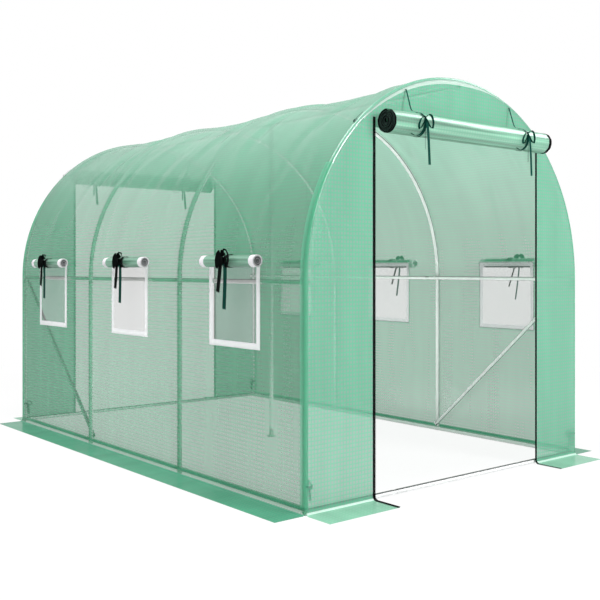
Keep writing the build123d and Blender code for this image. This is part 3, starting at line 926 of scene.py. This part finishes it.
flap_thick = 0.0042
flap_layers, flap_pitch = 5.2, 0.0048
flap_wander, flap_ripple = 0.002, 0.0003
flap_columns = 0.02
flap_tape = 0.036
first_turn = 1.1
shaded_turn = 75 / 360
BARE_FILM, WHITE, SHADED_WHITE, SHADED_FILM = range(4)
flap_finishes = [wound_film, white_tape, shaded_tape, shaded_film, pale_shade_edge, roll_shade_edge, deep_shade_edge]
for side_name, side in sides:
    node = f"{side_name}_window_rolls"
    roll_half = half_of(node, Y) - bay_length
    white_end = roll_half - flap_tape
    roll_shift = middle_of(node, Y) - window_places[side_name][1]
    places = roll_shift + stations([-roll_half, -white_end, white_end, roll_half], flap_columns)
    points, cloth, run = wound_sheet(half_of(node, Z) - flap_thick / 2, flap_layers, flap_pitch, places,
                                     flap_wander, flap_ripple)
    edge = np.abs((places[:-1] + places[1:]) / 2 - roll_shift) > white_end
    winding = np.linspace(0, flap_layers, len(points) - 1)
    # On the ends of a flap roll the edges of the windings take grey and dark tones in turn: painted shade
    # between the windings.
    tape_finish = np.where(winding < first_turn, WHITE,
                           np.where(winding % 2 < 1, SHADED_FILM, SHADED_WHITE))
    in_shade = (winding < first_turn) & (winding % 1 < shaded_turn)
    film_finish = np.where(in_shade, SHADED_FILM, BARE_FILM)
    flap_finish = np.where(edge[None, :], tape_finish[:, None], film_finish[:, None])
    for number, place in enumerate(window_places[side_name], 1):
        placed = window_placer(side_name, side, place)(points)
        bench = Bench()
        bench.lay(placed[:, ::-side], cloth[:, ::-side], finish=flap_finish[:, ::-side])
        roll = bench.piece(f"{side_name}_rolled_flap_{number}", flap_finishes,
                           [f"{side_name}_window_rolls"])
        thicken(roll, flap_thick, 3)
    print(f"{side_name} flaps: {2 * roll_half:.3f} by {run:.3f}")

# %% [markdown]
# The ties are flat ribbons. Each one holds a roll with a loop round it and a bow in front, and its
# two tails hang down. A tube along a curve would look like string, so each ribbon is a strip: a smooth
# line through a few chosen points, and at each point the way its width lies.

# %% Ribbon ties
OUT = (0, 1, 0)
ALONG = (1, 0, 0)
ribbon_columns = 5


def smooth_line(points, steps):
    """A smooth line through the points, with this many steps between two of them."""
    points = np.asarray(points, float)
    ends = np.concatenate([[2 * points[0] - points[1]], points, [2 * points[-1] - points[-2]]])
    share = np.linspace(0, 1, steps, endpoint=False)[:, None]
    line = []
    for first, second, third, fourth in zip(ends, ends[1:], ends[2:], ends[3:]):
        line.append(second + 0.5 * share * (third - first + share * (
            2 * first - 5 * second + 4 * third - fourth + share * (3 * (second - third) + fourth - first))))
    return np.concatenate(line + [points[-1:]])


def lay_ribbon(bench, points, lies, width, place_of, finish=0, steps=9, crown=0.0006):
    """One strip of ribbon through the points, its width along the lies, placed by the given function."""
    line = smooth_line(points, steps)
    lie = smooth_line(lies, steps)
    ahead = np.gradient(line, axis=0)
    ahead /= np.linalg.norm(ahead, axis=1, keepdims=True)
    lie -= ahead * np.sum(lie * ahead, axis=1, keepdims=True)
    lie /= np.linalg.norm(lie, axis=1, keepdims=True)
    face = np.cross(ahead, lie)
    share = np.linspace(-1, 1, ribbon_columns)[None, :, None]
    strip = line[:, None] + lie[:, None] * share * width / 2 + face[:, None] * crown * (1 - share ** 2)
    run = np.concatenate([[0], np.cumsum(np.linalg.norm(np.diff(line, axis=0), axis=1))])
    cloth = np.stack(np.broadcast_arrays(share[..., 0] * width / 2, run[:, None]), axis=-1)
    bench.lay(place_of(strip), cloth, finish=finish)
    return run[-1]


def ring_points(radius, start, end, count):
    """Points round a roll from one angle to another, as along, out and up."""
    turns = np.radians(np.linspace(start, end, count))
    return [(0, radius * math.cos(turn), radius * math.sin(turn)) for turn in turns]


print(f"a ribbon is {ribbon_columns - 1} cells wide")

# %% [markdown]
# A window tie is a wide ribbon. Its bow stands up over the roll, and of the two tails the shorter one is
# black and slants a little, the longer one is dark green and hangs straight. On the left side the tails
# lie flat, on the right side they hang edge-on.

# %% Window ties
window_ribbon = 0.025
bow_left = [(0.004, 0.039, 0.022), (-0.002, 0.050, 0.040), (-0.008, 0.058, 0.032), (-0.013, 0.062, 0.002),
            (-0.011, 0.059, -0.026), (-0.006, 0.051, -0.016), (0, 0.045, 0.004), (0.004, 0.039, 0.018)]
bow_left_lies = [(0.63, -0.6, 0.2), (0.63, -0.7, 0.2), (0.63, -0.77, 0), (0.63, -0.77, -0.1),
                 (0.63, -0.77, 0), (0.6, -0.6, 0.1), (0.6, -0.5, 0), (0.63, -0.6, 0)]
bow_right = [(0.004, 0.039, 0.022), (0.014, 0.046, 0.040), (0.030, 0.049, 0.048), (0.050, 0.049, 0.032),
             (0.054, 0.049, 0.000), (0.042, 0.049, -0.022), (0.022, 0.045, -0.010), (0.004, 0.040, 0.016)]
bow_right_lies = [(0.8, 0.1, 0), (0.8, 0.3, 0), (0.8, 0.4, 0.2), (0.8, 0.3, 0.1),
                  (0.8, 0.2, 0), (0.8, 0.2, -0.2), (0.8, 0.1, 0), (0.8, 0.1, 0)]
tie_shift = 0.012
tie_gap = 0.0014
short_tail = [(-0.002, 0.042, 0.006), (-0.008, 0.049, -0.020), (-0.023, 0.045, -0.075),
              (-0.044, 0.040, -0.146)]
long_tail = [(0.014, 0.040, -0.008), (0.026, 0.046, -0.030), (0.020, 0.043, -0.110),
             (0.006, 0.038, -0.225)]
tail_lies = {"left": [(1, -0.12, 0)] * 4, "right": [(-0.3, 0.95, 0)] * 4}
knot = [(-0.004, 0.033, 0.028), (-0.001, 0.049, 0.018), (0.002, 0.050, -0.004), (0.004, 0.040, -0.020)]
BLACK, GREEN = range(2)
for side_name, side in sides:
    loop = ring_points(half_of(f"{side_name}_window_rolls", Z) + tie_gap, 10, 370, 17)
    strips = [(loop, [ALONG] * len(loop), BLACK, 4), (bow_left, bow_left_lies, BLACK, 9),
              (bow_right, bow_right_lies, BLACK, 9), (knot, [ALONG] * len(knot), BLACK, 9),
              (short_tail, tail_lies[side_name], BLACK, 9), (long_tail, tail_lies[side_name], GREEN, 9)]
    for number, place in enumerate(window_places[side_name], 1):
        place_of = window_placer(side_name, side, place - tie_shift, heading=-1)
        bench = Bench()
        run = sum(lay_ribbon(bench, points, lies, window_ribbon, place_of, finish, steps)
                  for points, lies, finish, steps in strips)
        tie = bench.piece(f"{side_name}_window_tie_{number}", [black_ribbon, green_ribbon],
                          [f"{side_name}_window_ties"])

# %% [markdown]
# A door tie is a narrow ribbon. It hangs from a stitched point just inside the rim, lies over the roll
# and ends in a bow with two open loops, one long straight tail and one short tail that curls.

# %% Door ties
door_ribbon = 0.010
door_tail = 0.017
door_strap = 0.0095
door_tie_gap = 0.0012
strap = [(-0.016, -0.0558, 0.173), (-0.020, -0.036, 0.122), (-0.024, -0.015, 0.071),
         (-0.022, 0.004, 0.0588), (-0.012, 0.0275, 0.0515), (0, 0.0487, 0.032)]
strap_lies = [(1, 0, 0.2), (1, 0, 0.1), ALONG, ALONG, ALONG, ALONG]
door_bow_right = [(0, 0.052, 0.026), (0.012, 0.061, 0.040), (0.028, 0.065, 0.036), (0.040, 0.065, 0.010),
                  (0.036, 0.064, -0.018), (0.022, 0.062, -0.014), (0.006, 0.056, 0.016), (0, 0.053, 0.024)]
door_bow_right_lies = [OUT] + [(0.4, 1, 0.5)] * 2 + [(0.4, 1, 0)] + [(0.4, 1, -0.5)] * 2 + [OUT] * 2
door_bow_left = [(0, 0.052, 0.026), (-0.018, 0.059, 0.031), (-0.040, 0.062, 0.014), (-0.052, 0.061, -0.014),
                 (-0.044, 0.060, -0.030), (-0.022, 0.057, -0.008), (0, 0.053, 0.024)]
door_bow_left_lies = [OUT, (0.2, 0.8, 0.5), (0.4, 0.8, 0.4), (0.6, 0.8, 0.2), (0.5, 0.8, 0.5),
                      (0.3, 0.8, 0.5), OUT]
door_long_tail = [(0.002, 0.053, 0.020), (0.004, 0.0615, -0.010), (0.010, 0.063, -0.080),
                  (0.018, 0.062, -0.190)]
door_short_tail = [(0, 0.053, 0.022), (-0.010, 0.061, 0), (-0.018, 0.063, -0.023), (-0.043, 0.063, -0.052),
                   (-0.072, 0.061, -0.064), (-0.105, 0.059, -0.055)]
door_short_lies = [(0.5, 0.7, 0), (0.4, 0.8, 0), (0.3, 0.9, -0.2), (0.2, 0.9, -0.3), (0.1, 1, -0.2), OUT]
door_thin_tail = [(-0.004, 0.053, 0.020), (-0.008, 0.061, -0.020), (-0.010, 0.0615, -0.070),
                  (-0.010, 0.061, -0.122)]
door_thin_lies = [(0.63, -0.77, 0)] * 4
for end, facing in ends:
    loop = ring_points(half_of(f"{end}_door_roll", Z) + door_tie_gap, 45, 405, 21)
    strips = [(strap, strap_lies, door_strap, 9), (loop, [ALONG] * len(loop), door_strap, 3),
              (door_bow_right, door_bow_right_lies, door_ribbon, 9),
              (door_bow_left, door_bow_left_lies, door_ribbon, 9),
              (door_long_tail, [ALONG] * 4, door_tail, 9),
              (door_short_tail, door_short_lies, door_ribbon, 9),
              (door_thin_tail, door_thin_lies, door_ribbon, 9)]
    tie_low, tie_high = (corner[X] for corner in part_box(f"{end}_door_ties"))
    for side_name, place in (("left", tie_low + door_ribbon / 2), ("right", tie_high - door_ribbon / 2)):
        place_of = door_placer(end, facing, place)
        bench = Bench()
        run = sum(lay_ribbon(bench, points, lies, width, place_of, steps=steps)
                  for points, lies, width, steps in strips)
        tie = bench.piece(f"{end}_door_tie_{side_name}", [green_ribbon],
                          [f"{end}_door_ties"])

# %% [markdown]
# Inside, a short ribbon ties the foot of the cover to each corner leg, and on the roof a small ribbon
# tab is sewn on beside each end rim. They are made like the other ties, with fewer points, and mirrored
# to every corner, because the same sewing pattern is used on both sides of the cover.

# %% Corner ties and roof tabs
loop_radius = 0.0138
loop_height = 0.124
leg_loop = [(loop_radius * math.cos(turn), loop_radius * math.sin(turn), loop_height)
            for turn in np.linspace(-0.6, math.pi + 0.6, 9)]
corner_strips = [
    (leg_loop, [(0, 0, 1)] * 9),
    ([(0, 0.015, 0.128), (0.010, 0.028, 0.141), (0.013, 0.043, 0.128), (0.008, 0.036, 0.110),
      (0, 0.017, 0.122)], [(0.7, 0.3, 0.5)] * 5),
    ([(0, 0.015, 0.128), (0.002, 0.025, 0.137), (-0.004, 0.035, 0.120), (0.002, 0.027, 0.108),
      (0, 0.017, 0.122)], [(0.7, -0.3, 0.5)] * 5),
    ([(0.002, 0.017, 0.122), (0.004, 0.026, 0.100), (0.004, 0.028, 0.075), (0.007, 0.029, 0.048)],
     [(0.6, 0.7, 0)] * 4),
    ([(-0.002, 0.017, 0.122), (-0.003, 0.021, 0.100), (-0.005, 0.021, 0.080), (-0.006, 0.023, 0.060)],
     [(0.6, -0.7, 0)] * 4)]
tab_girth = 0.765
tab_width = 0.011
tab_end_width = 0.003
tab_strips = [
    ([(0, 0.003, -0.012), (0, 0.007, -0.002), (0, 0.006, 0.006), (0, 0.003, 0.013)], tab_width),
    ([(0, 0.004, 0.010), (0.003, 0.004, 0.028), (-0.001, 0.0035, 0.048), (0.001, 0.003, 0.066)],
     tab_end_width)]


def tab_placer(side, facing):
    """Sets along, out and up of a tab on the roof beside this end's rim."""
    return lambda strip: cover_points(side * (tab_girth - strip[..., 2]),
                                      facing * (frame_end - strip[..., 0]), strip[..., 1])


for end, facing in ends:
    for side_name, side in sides:
        bench = Bench()
        place_of = placer((side * hoop_radius, facing * frame_end, 0), (0, -facing, 0), (-side, 0, 0))
        run = sum(lay_ribbon(bench, points, lies, door_ribbon, place_of) for points, lies in corner_strips)
        tie = bench.piece(f"{end}_{side_name}_corner_tie", [green_ribbon])
        bench = Bench()
        run = sum(width / tab_width * lay_ribbon(bench, points, [ALONG] * 4, width, tab_placer(side, facing))
                  for points, width in tab_strips)
        tab = bench.piece(f"{end}_{side_name}_roof_tab", [green_ribbon])

# %% [markdown]
# A zip runs down each edge of a doorway, round the fold at the ground and out along the skirt. With the
# door rolled up, the half that stays on the wall is a woven tape with a row of teeth along its edge.
# The teeth are far too many to place by hand, so a loop sets one every few millimetres along the path.

# %% Door zips
zip_width = 0.014
zip_rise = 0.047
zip_columns = 5
zip_pitch = 0.03
zip_fold_pitch = 0.004
tape_off = 0.0016
tooth_pitch = 0.0034
tooth_share = 0.7
tooth_gap, tooth_tall = 0.0004, 0.0014
tooth_reach = (-0.0028, 0.0022)
tooth_ring = [(-0.5, 0), (-0.3, 1), (0.3, 1), (0.5, 0)]
zip_tall = door_top + zip_rise - film_foot
zip_run = zip_tall + fold_run + end_skirt_run


def zip_points(facing, x, run, off):
    """Points of a zip at these distances down from its top, across and off the film."""
    down = np.clip(run, 0, zip_tall)
    turn = np.clip(run - zip_tall, 0, fold_run) / fold_bend
    flat = np.clip(run - zip_tall - fold_run, 0, None)
    out = fold_bend * (1 - np.cos(turn)) + flat + off * np.cos(turn)
    up = door_top + zip_rise - down - fold_bend * np.sin(turn) + off * np.sin(turn)
    y = facing * (end_face - film / 2 + out)
    return np.stack(np.broadcast_arrays(x, y, up), axis=-1)


zip_stations = np.unique(np.concatenate([
    stations([0, zip_run], zip_pitch), stations([zip_tall, zip_tall + fold_run], zip_fold_pitch)]))
tooth_runs = np.arange(zip_fold_pitch, zip_run, tooth_pitch)
widths = np.linspace(0, zip_width, zip_columns)
zip_cloth = np.stack(np.broadcast_arrays(widths[None, :], zip_stations[:, None]), axis=-1)
for end, facing in ends:
    for side_name, side in sides:
        edge_x = door_middles[end] + side * door_half
        bench = Bench()
        bench.lay(zip_points(facing, (edge_x + side * widths)[None, :], zip_stations[:, None], tape_off),
                  zip_cloth)
        teeth = np.stack([np.stack([
            zip_points(facing, edge_x + side * reach, tooth_runs + step * tooth_pitch * tooth_share,
                       tape_off + tooth_gap + rise * tooth_tall)
            for step, rise in tooth_ring]) for reach in tooth_reach])
        for number in range(len(tooth_runs)):
            bench.lay(teeth[:, :, number], ring=True, capped=True)
        bench.piece(f"{end}_zip_{side_name}", [zip_tape], ["door_zips"])
print(f"{len(tooth_runs)} teeth on each zip of {zip_run:.3f}")

# %% [markdown]
# The frame is galvanised tube: pale grey zinc, more satin than mirror, with a faint cloudy spangle. A
# fully metallic finish would turn every tube into a mirror of the white studio, also behind the film, so
# the zinc is mostly an ordinary grey surface with some metal in it, and its gloss varies from spot to spot.

# %% Galvanised steel finish
spangle_share = 0.35
gloss_range = 0.22
least_rough = 0.3
metal_share = 0.06


def galvanised_steel(name, dark, light, tint=(1.0, 1.015, 1.015)):
    """Satin zinc with a faint spangle and uneven gloss, between two tones and with a tint."""
    material, tree, output = start_material(name)
    place = tree.nodes.new("ShaderNodeTexCoord").outputs["Object"]
    spangle = add_node(tree, "ShaderNodeTexVoronoi", Vector=place, Scale=120.0)
    cloud = add_node(tree, "ShaderNodeTexNoise", Vector=place, Scale=14.0, Detail=4.0)
    mixed = maths(tree, "MULTIPLY_ADD", spangle.outputs["Distance"], spangle_share,
                  cloud.outputs[0])
    tones = [tuple(part * tone for part in tint) + (1,) for tone in (dark, light)]
    colour = blend_colours(tree, mixed, *tones)
    rough = maths(tree, "MULTIPLY_ADD", mixed, gloss_range, least_rough)
    skin = add_node(tree, "ShaderNodeBsdfPrincipled", Base_Color=colour, Roughness=rough,
                    Metallic=metal_share)
    skin.inputs["Specular IOR Level"].default_value = 0.3
    tree.links.new(skin.outputs[0], output.inputs["Surface"])
    return material


zinc = galvanised_steel("galvanised_zinc", 0.82, 0.97, (1.0, 0.95, 0.97))
# The copies below are painted shade. On the side of a tube that touches the film it is darker and tinted
# with the film's green on the walls, and a paler half shade on the roof and on the threshold.
film_shade_zinc = galvanised_steel("film_shade_zinc", 0.48, 0.6, (0.82, 1.2, 1.02))
half_shade_zinc = galvanised_steel("half_shade_zinc", 0.56, 0.7)
# Near-black painted shade along the top of the threshold.
top_shade_zinc = galvanised_steel("top_shade_zinc", 0.06, 0.1)
# The pole's zinc is a darker copy of the same zinc: painted shade.
pole_shade_zinc = galvanised_steel("pole_shade_zinc", 0.36, 0.48)
# Near-black painted shade along the edges of a tube's film side and along the tops of purlins and braces.
edge_shade_zinc = galvanised_steel("edge_shade_zinc", 0.1, 0.16)
BARE, FILM_SHADE, HALF_SHADE, TOP_SHADE, EDGE_SHADE = range(5)
tube_finishes = [zinc, film_shade_zinc, half_shade_zinc, top_shade_zinc, edge_shade_zinc]
print("finishes:", [finish.name for finish in tube_finishes])

# %% [markdown]
# A hoop is not one tube but several, pushed into each other: one end is swaged, which means pressed a
# little thinner, and slides into the next. The joint shows as a short thinner neck and a small step.
# The tube is made as rings along its line, and the size of each ring draws the joints.

# %% Tubes with swaged joints
tube_facets = 18
hoop_pitch = 0.03
neck_run = 0.032
neck_depth = 0.0011
neck_slope = 0.004
joint_step = 0.0004
roof_side = 1.55
film_reach, edge_reach = -0.1, -0.42
across_tunnel = (1, 0, 0)
along_tunnel = (0, 1, 0)


def tube_rings(line, sizes, side_way, wide=1.0, facets=tube_facets):
    """Rings round a line of points with these radii. wide stretches them along the side way."""
    ahead = np.gradient(line, axis=0)
    ahead /= np.linalg.norm(ahead, axis=1, keepdims=True)
    side_way = np.broadcast_to(np.asarray(side_way, float), ahead.shape)
    up = np.cross(ahead, side_way)
    turn = np.linspace(0, math.tau, facets, endpoint=False)
    sizes = np.broadcast_to(sizes, (len(line),))[:, None, None]
    wide = np.broadcast_to(wide, (len(line),))[:, None, None]
    across = np.cos(turn)[None, :, None] * side_way[:, None] * wide
    return line[:, None] + sizes * (across + np.sin(turn)[None, :, None] * up[:, None])


def cell_ways(rings, line):
    """The way from the line to each cell round a tube."""
    ways = rings - line[:, None]
    return ways + np.roll(ways, -1, axis=1)


def film_side(rings, line):
    """Finishes of a tube on the film: bare where it faces the room or a window; on the side that touches
    the film, painted shade: darker and green on the walls, a paler half shade on the roof, and darkest
    along the edge of that side."""
    outward = np.stack([line[:, 0], 0 * line[:, 0], np.clip(line[:, 2] - wall_height, 0, None)], axis=-1)
    outward /= np.linalg.norm(outward, axis=1, keepdims=True)
    ways = cell_ways(rings, line)
    out_share = np.sum(ways * outward[:, None], axis=-1) / np.linalg.norm(ways, axis=-1)
    places = np.where(line[:, :1] < 0, window_places["left"], window_places["right"])
    at_window = np.any(np.abs(line[:, 1:2] - places) < cut_half, axis=1)
    at_window &= (line[:, 2] > window_sill) & (line[:, 2] < window_top)
    shade = np.where(line[:, 2] > roof_side, HALF_SHADE, np.where(at_window, BARE, FILM_SHADE))
    by_edge = np.where(out_share > edge_reach, EDGE_SHADE, BARE)
    return np.where(out_share > film_reach, shade[:, None], by_edge)[:-1]


def jointed(breaks, joints, radius, pitch):
    """Places along a tube and its radius there, with a swaged neck before each joint."""
    runs = list(stations(breaks, pitch))
    steps = ((-neck_run, 0), (-neck_run + neck_slope, -neck_depth), (-joint_step, -neck_depth),
             (joint_step, 0))
    marks = [(joint + away, size) for joint in joints for away, size in steps]
    far_runs = [run for run in runs if all(abs(run - joint) > neck_run for joint in joints)]
    rows = sorted([(run, 0) for run in far_runs] + marks)
    return np.array([run for run, size in rows]), radius + np.array([size for run, size in rows])


def hoop_line(run):
    """Points of a hoop at these distances from its left foot: up the leg, over the arch and down again."""
    lean = (np.clip(run, wall_height, hoop_run - wall_height) - wall_height) / hoop_radius
    x = -hoop_radius * np.cos(lean)
    z = np.minimum(np.minimum(run, hoop_run - run), wall_height) + hoop_radius * np.sin(lean)
    return np.stack([x, np.zeros_like(x), z], axis=-1)


hoop_run = 2 * wall_height + math.pi * hoop_radius
hoop_joints = [0.28, 1.11, hoop_run / 2, hoop_run - 1.11 + neck_run, hoop_run - 0.28 + neck_run]
hoop_names = ["front_hoop_arch", "front_middle_hoop_arch", "rear_middle_hoop_arch", "rear_hoop_arch"]
hoop_breaks = [0, wall_height, hoop_run - wall_height, hoop_run]
for name, place in zip(hoop_names, hoop_places):
    runs, sizes = jointed(hoop_breaks, hoop_joints, hoop_tube / 2, hoop_pitch)
    line = hoop_line(runs) + np.array([0, place, 0])
    bench = Bench()
    rings = tube_rings(line, sizes, along_tunnel)
    bench.lay(rings, finish=film_side(rings, line), ring=True, capped=True)
    bench.piece(name.replace("_arch", "_tube"), tube_finishes,
                [name, "left_hoop_legs", "right_hoop_legs"])

# %% [markdown]
# The ridge, the purlins and the base rails are straight tubes with joints near the hoops. The braces are
# flattened at both ends, so that a bolt can hold them flat against the hoop. The pole in the middle stands
# on a round foot. All of them are rings along a line, only the sizes of the rings differ.

# %% Rails, braces and pole
rail_pitch = 0.02
top_shade_share = 0.5
threshold_shade_share = 0.72


def film_side_shaded_top(rings, line):
    """The finishes of a tube on the film, with a dark line of painted shade along its top."""
    ways = cell_ways(rings, line)[:-1]
    shaded_top = ways[..., 2] > top_shade_share * np.linalg.norm(ways, axis=-1)
    return np.where(shaded_top, EDGE_SHADE, film_side(rings, line))


def top_side(rings, line):
    """The finishes of a threshold: near-black painted shade along its top, painted half shade elsewhere."""
    ways = cell_ways(rings, line)[:-1]
    return np.where(ways[..., 2] > threshold_shade_share * np.linalg.norm(ways, axis=-1), TOP_SHADE, HALF_SHADE)


def rail(bench, start, end, side_way, joint_shares, shade):
    """A straight tube from start to end with swaged joints at these shares of its length."""
    start, end = np.array(start, float), np.array(end, float)
    length = np.linalg.norm(end - start)
    joints = [share * length for share in joint_shares]
    runs, sizes = jointed([0, length], joints, rail_radius, rail_pitch)
    line = start + (end - start) * runs[:, None] / length
    rings = tube_rings(line, sizes, side_way)
    bench.lay(rings, finish=shade(rings, line), ring=True, capped=True)


rail_radius = half_of("ridge_pole", Z)
ridge_z = middle_of("ridge_pole", Z)
purlin_z = middle_of("side_purlins", Z)
base_z = middle_of("side_base_rails", Z)
rail_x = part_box("side_purlins")[1][X] - rail_radius
bay_shares = [0.36, 0.7]
door_shares = [0.28, 0.76]
long_rails = [("ridge_tube", "ridge_pole", [0], ridge_z, film_side),
              ("purlin_tubes", "side_purlins", [-rail_x, rail_x], purlin_z, film_side_shaded_top),
              ("side_base_tubes", "side_base_rails", [-rail_x, rail_x], base_z, film_side)]
for name, node, places, height, shade in long_rails:
    rail_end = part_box(node)[1][Y]
    bench = Bench()
    for x in places:
        rail(bench, (x, -rail_end, height), (x, rail_end, height), across_tunnel, bay_shares, shade)
    bench.piece(name, tube_finishes, [node])
bench = Bench()
end_rail_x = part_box("end_base_rails")[1][X]
for end, facing in ends:
    rail(bench, (-end_rail_x, facing * frame_end, base_z), (end_rail_x, facing * frame_end, base_z),
         along_tunnel, door_shares, top_side)
bench.piece("end_base_tubes", tube_finishes, ["end_base_rails"])

brace_radius = rail_radius
brace_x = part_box("diagonal_braces")[1][X] - brace_radius
brace_foot = base_z + 2 * rail_radius
brace_head = purlin_z - 2 * rail_radius
brace_pitch = 0.009
flat_run = 0.045
flat_wide, flat_thin = 1.2, 0.2
bench = Bench()
for side_name, side in sides:
    start = np.array([side * brace_x, -side * bay_length / 2, brace_foot])
    end = np.array([side * brace_x, -side * frame_end, brace_head])
    length = np.linalg.norm(end - start)
    runs = stations([0, flat_run, length - flat_run, length], brace_pitch)
    round_share = ease(np.minimum(runs, length - runs) / flat_run)
    wide = flat_wide + (1 - flat_wide) * round_share
    thin = flat_thin + (1 - flat_thin) * round_share
    line = start + (end - start) * runs[:, None] / length
    rings = tube_rings(line, brace_radius * wide, across_tunnel, thin / wide)
    bench.lay(rings, finish=film_side_shaded_top(rings, line), ring=True, capped=True)
bench.piece("brace_tubes", tube_finishes, ["diagonal_braces"])

foot_radius, pole_top = (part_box("centre_pole")[1][axis] for axis in (X, Z))
foot_height = 0.006
pole_radius = 0.0125
pole_joint = 0.97
pole_rows = [(0, foot_radius), (foot_height - 0.001, foot_radius), (foot_height, foot_radius - 0.001),
             (foot_height + 0.0005, pole_radius + 0.004), (foot_height + 0.004, pole_radius)]
pole_rows += [(run, pole_radius) for run in np.linspace(0.1, 0.9, 9)]
pole_rows += [(pole_joint - 0.03, pole_radius - neck_depth), (pole_joint, pole_radius - neck_depth),
              (pole_joint + 0.0005, pole_radius)]
pole_rows += [(run, pole_radius) for run in np.linspace(1.05, pole_top, 8)]
heights, sizes = np.array(pole_rows).T
pole_line = np.stack([0 * heights, 0 * heights, heights], axis=-1)
bench = Bench()
bench.lay(tube_rings(pole_line, sizes, across_tunnel), ring=True, capped=True)
bench.piece("pole_tube", [pole_shade_zinc], ["centre_pole"])

# %% [markdown]
# Where tubes cross, a bolt goes through both. Each has a washer and a six-sided head. They are small, but
# the ones behind the doorway catch the light, so they are real shapes: the same rings again, with six
# sides for the head and many for the washer.

# %% Bolts at the crossings
bolt_head, bolt_tall, bolt_facets = 0.0065, 0.005, 6
washer_size, washer_tall, washer_facets = 0.0095, 0.0014, 16
bevel_tall, bevel_wide = 0.0006, 0.0008
brace_inset = 0.012
head_drop = 0.01
threshold_inset = 0.03
any_slant = (0.3, 0.5, 0.8)
bolt_places = []
for side_name, side in sides:
    inward = (-side, 0, 0)
    inner_x = side * (rail_x - rail_radius)
    bolt_places += [((inner_x, place, purlin_z), inward) for place in hoop_places]
    bolt_places += [((inner_x, place, base_z), inward) for place in hoop_places[1:-1]]
    flat_x = side * (brace_x - flat_thin * brace_radius)
    bolt_places.append(((flat_x, -side * bay_length / 2, brace_foot + brace_inset), inward))
    bolt_places.append(((flat_x, -side * (frame_end - brace_inset), brace_head - head_drop), inward))
    bolt_places += [((side * (end_rail_x - threshold_inset), facing * (frame_end - rail_radius), base_z),
                     (0, -facing, 0)) for end, facing in ends]
bolt_places += [((0, place, ridge_z - rail_radius), (0, 0, -1)) for place in hoop_places]
bench = Bench()
for place, way in bolt_places:
    place, way = np.array(place), np.array(way, float)
    sideways = np.cross(way, any_slant)
    sideways /= np.linalg.norm(sideways)
    for size, low, high, facets in ((washer_size, 0, washer_tall, washer_facets),
                                    (bolt_head, washer_tall, bolt_tall, bolt_facets)):
        heights = np.array([low, high - bevel_tall, high])
        line = place + way * heights[:, None]
        rings = tube_rings(line, np.array([size, size, size - bevel_wide]), sideways, facets=facets)
        bench.lay(rings, ring=True, capped=True)
bench.piece("frame_bolts", [zinc])
print("bolts:", len(bolt_places))
